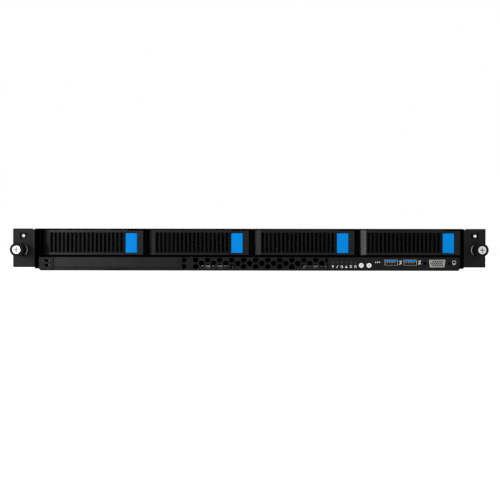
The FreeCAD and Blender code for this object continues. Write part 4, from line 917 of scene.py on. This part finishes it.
# %% [markdown]
# ## Lenses of the drive lights
#
# Each carrier has two small holes at its right edge, where the light of the drive comes out. The
# lens is a smoky plastic rod with a domed end. It could be a ball, but a rod also fills the hole
# behind it, so nothing shines through from the side. It rides on its carrier.

# %% Two lenses per carrier
lens_radius, lens_reach, lens_depth = 0.74, 1.7, 1.3
lens_profile = [(0, -lens_reach), (lens_radius, -lens_reach), (lens_radius, 0), (0.56, 0.32),
                (0, 0.46)]
light_from_right = 2.8
light_heights = (22.9, 33.3)
for bay in BAYS:
    body = "carrier_%d" % bay
    work = bmesh.new()
    for height in light_heights:
        place = spot(span(body)[1].x - light_from_right, lens_depth, height)
        add_turned(work, place, FORWARD, lens_profile, 16)
    add_piece("carrier_lenses_%d" % bay, work, light_pipe, body)

# %% [markdown]
# ## Printed marks on the front panel
#
# The panel is printed with small white marks: one under each status light, a row over the reset
# hole, one beside each USB socket and one beside the video socket. They are drawn as plain signs
# that belong to no maker. Ink has almost no thickness; two hundredths of a millimetre keep it clear
# of the steel.

# %% White marks on the connector panel
ink = 0.02
light_count, light_radius, sign_height = 6, 0.85, 4.4
lights_low, lights_high = span("status_lights")
light_step = (lights_high.x - lights_low.x - 2 * light_radius) / (light_count - 1)
signs = [[disc(0.85, 0, 0.5), block(0.8, 0.6, 0, -1.1)],
         [[(-1.1, -1.4), (-0.3, -1.4), (1.1, 1.4), (0.3, 1.4)]],
         [arch(2.2, 2.6, 0.6), block(1.0, 0.5, 0, -1.5)],
         [[(-1.3, -1.3), (1.3, -1.3), (0, 1.3)]],
         [block(2.2, 0.6, 0, 0.9), block(2.2, 0.6, 0, -0.9), block(0.6, 1.2, 0, 0)],
         [arch(2.2, 2.6, 0.6)]]
work = bmesh.new()
for index, outlines in enumerate(signs):
    place = spot(lights_low.x + light_radius + index * light_step, 0, sign_height)
    add_plates(work, place, FORWARD, outlines, ink)
reset_x = centre_of("reset_button")[0]
reset_mark_step, reset_mark_height = 1.9, 8.9
for step in (-1, 0, 1):
    add_plate(work, spot(reset_x + step * reset_mark_step, 0, reset_mark_height), FORWARD,
              [(-0.65, -0.95), (0.65, 0), (-0.65, 0.95)], ink)
shells_low, shells_high = span("socket_shells")
usb_width, usb_step = 13.1, 19.4
usb_mark_gap, usb_mark_height = 3.0, 8.6
for index in (0, 1):
    place = spot(shells_low.x + usb_width + usb_mark_gap + index * usb_step, 0, usb_mark_height)
    add_plates(work, place, FORWARD, ([(-1.4, -2.2), (-0.5, -2.2), (1.4, 2.2), (0.5, 2.2)],
                                      disc(0.5, -0.9, 1.2, 4), disc(0.5, 0.9, -1.2, 4)), ink)
screen_mark_gap, screen_mark_height = 1.9, 9.0
screen_place = spot(shells_high.x + screen_mark_gap, 0, screen_mark_height)
add_frame(work, screen_place, FORWARD, rounded(3.7, 3.0, 0.5), rounded(2.9, 2.2, 0.3), ink)
add_plate(work, screen_place, FORWARD, block(2.6, 0.8, 0, -2.3), ink)
add_piece("panel_marks", work, print_white, "chassis")

# %% Grey marks on the two white buttons
for name in ("power_button", "identify_button"):
    button_x, _, button_z = centre_of(name)
    face = span(name)[0].y - front
    work = bmesh.new()
    add_frame(work, spot(button_x, face, button_z), FORWARD, disc(1.0), disc(0.7), ink)
    if name == "power_button":
        add_plate(work, spot(button_x, face - ink, button_z), FORWARD,
                  block(0.34, 1.1, 0, 0.8), ink)
    else:
        add_plate(work, spot(button_x, face, button_z), FORWARD, disc(0.35, steps=4), ink)
    add_piece(name + "_mark", work, print_grey, name)

# %% [markdown]
# ## Inside the sockets
#
# Under each blue tongue lie the contact springs of the USB socket, drawn as small gold strips that
# bow down from the tongue. The holes of the video socket would each need a metal sleeve; a small
# dark cup in every hole does the same for the eye. Both stay in the sockets, so they ride on the
# chassis.

# %% USB contact springs
tongue_bottom = 9.05
contact_count, contact_step, contact_width = 4, 2.5, 0.8
contact_bow = [(0, 0), (0, -0.3), (4.2, -1.1), (5.0, -0.3), (5.0, 0)]
work = bmesh.new()
for index in (0, 1):
    centre = shells_low.x + usb_width / 2 + index * usb_step
    for column in range(contact_count):
        x = centre + (column - (contact_count - 1) / 2) * contact_step
        add_plate(work, spot(x - contact_width / 2, 2.0, tongue_bottom), Vector((1, 0, 0)),
                  contact_bow, contact_width)
        add_plate(work, spot(x, 1.9, tongue_bottom - 0.7), FORWARD, block(contact_width, 1.2), 0.25)
add_piece("usb_contacts", work, gold, "chassis")

# %% Video contact cups
hole_columns, hole_rows = 5, 3
hole_pitch, row_pitch, hole_radius = 2.3, 1.9, 0.5
video_x, video_z = shells_high.x - 15.5, 7.6
inside, outside, mouth = (hole_radius * share for share in (0.98, 1.7, 0.8))
cup_profile = [(0, -0.5), (inside, -0.5), (inside, 0.6), (outside, 0.6), (outside, 0.66),
               (mouth, 0.66), (0, 0.1)]
work = bmesh.new()
for row in range(hole_rows):
    shift = hole_pitch / 4 * (-1 if row % 2 else 1)
    for column in range(hole_columns):
        x = video_x + (column - (hole_columns - 1) / 2) * hole_pitch + shift
        z = video_z + (row - (hole_rows - 1) / 2) * row_pitch
        add_turned(work, spot(x, 1.1, z), FORWARD, cup_profile, 10)
add_piece("video_contact_cups", work, fan_plastic, "chassis")

# %% [markdown]
# ## Sheet parts behind the vent and the bracket
#
# Through the honeycomb the photograph shows pale lines. They look like the bent front lips of an
# inner shelf, with slanted ends, a rivet head and a small angle, so they are drawn as zinc steel in
# painted shade, a dark grey, with a bright zinc top edge. Above them two places stay dark, and a
# block closes each. Behind the two slots of the left bracket something brown shows, drawn as a
# plated spring. All are shallow parts, so each is a cut-out outline with the thickness of its
# sheet.

# %% Lips and rivet behind the vent
lip_depth, lip_sheet, lip_bottom = 5.0, 0.8, 1.3
left_lip = [(-52.7, lip_bottom), (-20, lip_bottom), (-20, 4.8), (-49.5, 4.8)]
right_lip = [(52, lip_bottom), (80.0, lip_bottom), (80.0, 4.6), (55.5, 4.6)]
angle = [(-17.8, 2.0), (-14.8, 2.0), (-14.8, 2.8), (-16.6, 2.8), (-16.6, 5.0), (-17.8, 5.0)]
work = bmesh.new()
add_plates(work, spot(0, lip_depth, 0), FORWARD, (left_lip, right_lip, angle), lip_sheet)
add_turned(work, spot(-60.8, 3.2, 7.0), FORWARD,
           [(0, -2.0), (1.5, -2.0), (1.5, 0), (1.1, 0.6), (0, 0.85)], 16)
add_piece("shelf_lips", work, painted_shade_zinc, "chassis", 0.1)
work = bmesh.new()
for low, high, level in ((-49.5, -20, 4.8), (55.5, 80.0, 4.6)):
    add_plate(work, spot((low + high) / 2, lip_depth, level), UPWARD,
              block(high - low, 6.0, 0, 2.2), 0.4)
add_piece("shelf_edge", work, plated_steel, "chassis", 0.1)

# %% Blocks behind the vent
work = bmesh.new()
for low, high in ((-46, -22), (53, 73)):
    add_plate(work, spot((low + high) / 2, 14.0, 9.7), FORWARD, rounded(high - low, 7.4, 0.8), 2.5)
    add_plate(work, spot((low + high) / 2, 11.5, 7.2), FORWARD, block(high - low - 2, 1.0), 0.6)
add_piece("inner_blocks", work, inner_plastic, "chassis", 0.2)

# %% Spring behind the bracket
spring_place, spring_sheet, rib_height = spot(-203.75, 3.0, 7.7), 0.5, 2.2
work = bmesh.new()
add_plate(work, spring_place, FORWARD, block(3.5, 8.5), spring_sheet)
for height in (-rib_height, rib_height):
    add_plate(work, spring_place + FORWARD * spring_sheet, FORWARD,
              block(2.3, 1.0, 0, height), 0.25)
add_piece("bracket_spring", work, spring_metal, "chassis", 0.1)

# %% [markdown]
# ## Ears
#
# The right and left ear carry a raised border round their window, pressed into the sheet by a
# fraction of a millimetre. A frame of two rounded outlines gives it with a soft edge. The flanges
# of the ears lie against the side walls, and each is held by four screws with a cross.

# %% Raised window borders
border_x, border_z, border_height = 231.8, 35.3, 0.35
for name, side in SIDES.items():
    work = bmesh.new()
    add_frame(work, spot(side * border_x, 0, border_z), FORWARD, rounded(16.6, 13.4, 1.2),
              rounded(9.2, 6.6, 0.6, -side * 1.8, 0.3), border_height)
    add_piece("ear_border_" + name, work, black_steel, "chassis", 0.22)

# %% Side screws of the ears
flange_face = 220.6
ear_screw_places = [(depth, height) for depth in (16, 34) for height in (12, 33)]
for name, side in SIDES.items():
    add_screws("ear_screws_" + name,
               [spot(side * flange_face, depth, height) for depth, height in ear_screw_places],
               Vector((side, 0, 0)), 2.6, 0.9, "chassis")

# %% [markdown]
# ## Painted shade in the seams of the front
#
# In the photograph the seams of the front are firm black lines, wider than the gaps alone. Strips
# of dull black are laid over them as painted shade: over the lower row, beside both ears, along the
# cover and under the blank. They are two hundredths of a millimetre thick.

# %% Strips of painted shade
row_top, strip_height = 14.6, 0.8
side_strip_x, side_strip_z = 218.2, 22.6
blank_seam_z = 2.6
work = bmesh.new()
add_plate(work, spot(0, 0, row_top - strip_height / 2), FORWARD, block(430, strip_height), ink)
for side in SIDES.values():
    add_plate(work, spot(side * side_strip_x, 0, side_strip_z), FORWARD, block(1.8, 38.2), ink)
add_plate(work, spot(0, 0, body_top - 0.42), FORWARD, block(434, strip_height), ink)
add_piece("seam_strips", work, painted_shade_black, "chassis")
# The seam under the blank is painted shade as well.
blank_low, blank_high = span("slim_bay_blank")
work = bmesh.new()
add_plate(work, spot(centre_of("slim_bay_blank")[0], 0, blank_seam_z), FORWARD,
          block(blank_high.x - blank_low.x - 0.4, 0.4), ink)
add_piece("blank_seam", work, painted_shade_black, "chassis")

# %% [markdown]
# Under the drives the unit is hollow as far as the fans, and light from the rear slots would glint
# through the honeycomb. In the photograph none comes through, and what stops it isn't seen. Here a
# bent black baffle across the tunnel does it.

# %% Baffle under the drives
baffle_x, baffle_width = 4.5, 150
work = bmesh.new()
add_plate(work, spot(baffle_x, 62.0, 7.6), FORWARD, block(baffle_width, 11.6), 1.0)
add_plate(work, spot(baffle_x, 61.0, 2.2), UPWARD, block(baffle_width, 9.0, 0, 5.0), 0.8)
add_piece("under_bay_baffle", work, painted_shade_black, "chassis", 0.2)

# %% [markdown]
# ## Screws and grips of the covers
#
# The front cover has six countersunk seats, so it only needs their screws, set just below the top
# face. The sliding cover gets its seats and two ribbed finger grips here: its mesh is copied, the
# shapes are cut out of the copy, and the copy stands for the plain one of the drawing. Cutting is
# the honest way, because a darker patch wouldn't catch the light at its edges.

# %% Screws of the front cover
seat_side, seat_depth, seat_radius = 208, 0.5, 2.9
cover_screw = {"out": UPWARD, "radius": 2.6, "high": 0.46, "sunk": 0.4}
front_seats = [(x, depth) for x in (-seat_side, 0, seat_side)
               for depth in (11, cover_high.y - front - 9)]
add_screws("front_cover_screws",
           [spot(x, depth, body_top - seat_depth) for x, depth in front_seats],
           body="chassis", **cover_screw)

# %% Draw what is cut out of the sliding cover
lid_seats = [(x, depth) for x in (-seat_side, seat_side)
             for depth in (lid_low.y - front + 9, lid_high.y - front - 10)]
grip_side, grip_from_edge, grip_depth = 118, 34, 0.4
rib_count, rib_width, rib_step, groove = 5, 62, 3.6, 2.4
work = bmesh.new()
for x, depth in lid_seats:
    add_turned(work, spot(x, depth, body_top), UPWARD,
               [(0, -seat_depth), (seat_radius, -seat_depth), (seat_radius, 1), (0, 1)])
for side in SIDES.values():
    place = spot(side * grip_side, lid_low.y - front + grip_from_edge, body_top - grip_depth)
    for row in range(rib_count):
        add_plate(work, place, UPWARD,
                  rounded(rib_width, groove, groove / 2, 0, (row - (rib_count - 1) / 2) * rib_step),
                  1 + grip_depth)
cutter = new_object("cover_cutter", bake_mesh(work, "cover_cutter"))
print("seats", len(lid_seats), "grooves", 2 * rib_count)

# %% Cut the sliding cover
lid_node = frame["nodes"]["top_cover"]
lid_mesh = lid_node.data.copy()
lid_mesh.transform(lid_node.matrix_world)
lid = new_object("sliding_cover", lid_mesh)
join_corners(lid)
cut = lid.modifiers.new("cut", "BOOLEAN")
cut.operation = "DIFFERENCE"
cut.solver = "EXACT"
cut.object = cutter
shaped = bpy.data.meshes.new_from_object(lid.evaluated_get(bpy.context.evaluated_depsgraph_get()))
lid.modifiers.clear()
lid.data = shaped
bpy.data.objects.remove(cutter)
lid.data.materials.clear()
lid.data.materials.append(black_steel)
round_edges(lid, fine_edge)
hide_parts("top_cover")
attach(lid, "top_cover")
add_screws("sliding_cover_screws",
           [spot(x, depth, body_top - seat_depth) for x, depth in lid_seats],
           body="top_cover", **cover_screw)
print("sliding cover faces", len(shaped.polygons))

# %% [markdown]
# ## The rear
#
# The rear isn't in the photograph, so it follows what a server of this kind has: gold contacts and
# two lamps in each network socket, blue tongues in the USB stack, hex nuts beside the video socket,
# two blank slot covers with their screws. The supplies get the black lining of the power inlet, a
# lamp and two screws, and these ride on their supply, since it slides out.

# %% Network sockets
back = rear - front
ports_low, ports_high = span("rear_connectors")


def port_spot(x, depth, z):
    """A place measured from the lower left corner of the rear connectors and from their faces."""
    return spot(ports_low.x + x, ports_high.y - front + depth, ports_low.z + z)


jack_count, jack_first, jack_step = 3, 8, 18
pin_count, pin_step = 8, 1.02
lamp_offset, lamp_height = 5.6, 12.2
contacts, green_lamps, amber_lamps = bmesh.new(), bmesh.new(), bmesh.new()
for index in range(jack_count):
    x = jack_first + jack_step * index
    for pin in range(pin_count):
        place = port_spot(x + (pin - (pin_count - 1) / 2) * pin_step, -12, 3.0)
        add_plate(contacts, place, BACKWARD, block(0.45, 0.5), 10)
    for lamps, side in ((green_lamps, -1), (amber_lamps, 1)):
        add_plate(lamps, port_spot(x + side * lamp_offset, 0, lamp_height), BACKWARD,
                  rounded(2.6, 1.5, 0.3), 0.05)
add_piece("network_contacts", contacts, gold, "chassis")
add_piece("network_lamps_green", green_lamps, lamp_green, "chassis")
add_piece("network_lamps_amber", amber_lamps, lamp_amber, "chassis")

# %% Rear USB tongues
tongue_x, tongue_first, tongue_step = 64, 3.7, 7.2
work = bmesh.new()
for index in (0, 1):
    add_plate(work, port_spot(tongue_x, -8.8, tongue_first + tongue_step * index), BACKWARD,
              block(11.5, 1.9), 7.45)
add_piece("rear_usb_tongues", work, tab_blue, "chassis")

# %% Rear video socket
rear_video = port_spot(90, 0, 6.8)
nut_side, nut_radius, pin_hole = 12.5, 2.5, 0.55
work = bmesh.new()
add_plate(work, rear_video - BACKWARD * 2.2, BACKWARD,
          [(-7.6, 3.1), (-6.7, -3.1), (6.7, -3.1), (7.6, 3.1)], 1.7)
for row in range(hole_rows):
    for column in range(hole_columns):
        x = (column - (hole_columns - 1) / 2) * hole_pitch + (pin_hole if row % 2 else -pin_hole)
        z = (row - (hole_rows - 1) / 2) * row_pitch
        add_turned(work, rear_video + Vector((x, -0.5, z)), BACKWARD,
                   [(0, 0), (pin_hole, 0), (pin_hole, 0.08), (0, 0.08)], 10)
add_piece("rear_video_insert", work, cable_plastic, "chassis")
work = bmesh.new()
for side in SIDES.values():
    add_turned(work, rear_video + Vector((side * nut_side, -1.2, 0)), BACKWARD,
               [(0, 0), (nut_radius, 0), (nut_radius, 3.2), (1.5, 3.2), (1.5, 1.2), (0, 1.2)], 6)
add_piece("rear_video_nuts", work, nickel, "chassis", 0.15)

# %% Slot covers and screws of the rear
slot_x, slot_screw_x, slot_heights = 122, 179, (8.4, 18.8)
cover_thick = 0.5
work = bmesh.new()
for height in slot_heights:
    add_plate(work, spot(slot_x, back, height), BACKWARD, rounded(104, 9.0, 0.8), cover_thick)
    for rib in (-1, 1):
        add_plate(work, spot(slot_x, back + cover_thick, height), BACKWARD,
                  rounded(84, 1.2, 0.6, 0, rib * 2.4), 0.4)
add_piece("slot_covers", work, plated_steel, "chassis", 0.2)
rear_screw_places = [(slot_screw_x, height) for height in slot_heights]
rear_screw_places += [(-58.6, 34.0), (205, 6.0), (205, 37.6), (20, 37.6)]
add_screws("rear_screws", [spot(x, back, height) for x, height in rear_screw_places],
           BACKWARD, 2.6, 0.9, "chassis")

# %% Inlet lining, lamp and screws of each supply
inlet_from_left, inlet_z = 57.2, 14.6
lamp_from_left, lamp_z = 60, 36
screw_from_left, screw_heights = 4.2, (4.1, 38.6)
for number in (1, 2):
    body = "supply_%d" % number
    supply_left = span("power_supply_%d" % number)[0].x
    inlet_x = supply_left + inlet_from_left
    work = bmesh.new()
    add_frame(work, spot(inlet_x, back, inlet_z), BACKWARD, rounded(27.0, 21.2, 2.0),
              rounded(23.2, 17.4, 1.2), 1.0)
    add_frame(work, spot(inlet_x, back - 15, inlet_z), BACKWARD, rounded(24.1, 18.3, 0.6),
              rounded(23.2, 17.4, 0.6), 15.0)
    add_piece("inlet_lining_%d" % number, work, fan_plastic, body)
    work = bmesh.new()
    add_turned(work, spot(supply_left + lamp_from_left, back, lamp_z), BACKWARD,
               [(0, 0), (1.3, 0), (1.3, 0.3), (0.9, 0.6), (0, 0.75)], 16)
    add_piece("supply_lamp_%d" % number, work, lamp_green, body)
    add_screws("supply_screws_%d" % number,
               [spot(supply_left + screw_from_left, back, height) for height in screw_heights],
               BACKWARD, 2.0, 0.7, body)

# %% [markdown]
# ## The drives
#
# Pulled out, a drive shows its top: a stamped lid under a paper label and a row of small screws.
# The label is blank, with a thin grey rule round it instead of any text.

# %% Labels and lid screws
label_depth, label_thick = 62, 0.06
drive_screw_side, drive_screw_depths = 45, (8, 76, 139)
for bay in BAYS:
    drive_low, drive_high = span("drive_%d" % bay)
    centre_x = centre_of("drive_%d" % bay)[0]
    depth = drive_low.y - front
    body = "carrier_%d" % bay
    work = bmesh.new()
    add_plate(work, spot(centre_x, depth + label_depth, drive_high.z), UPWARD,
              rounded(70, 56, 2.0), label_thick)
    add_piece("drive_label_%d" % bay, work, paper_label, body)
    work = bmesh.new()
    add_frame(work, spot(centre_x, depth + label_depth, drive_high.z + label_thick), UPWARD,
              rounded(66, 52, 1.5), rounded(65, 51, 1.2), ink)
    add_piece("drive_label_rule_%d" % bay, work, print_grey, body)
    add_screws("drive_screws_%d" % bay,
               [spot(centre_x + side * drive_screw_side, depth + step, drive_high.z)
                for side in SIDES.values() for step in drive_screw_depths],
               UPWARD, 1.9, 0.2, body, 0.15)
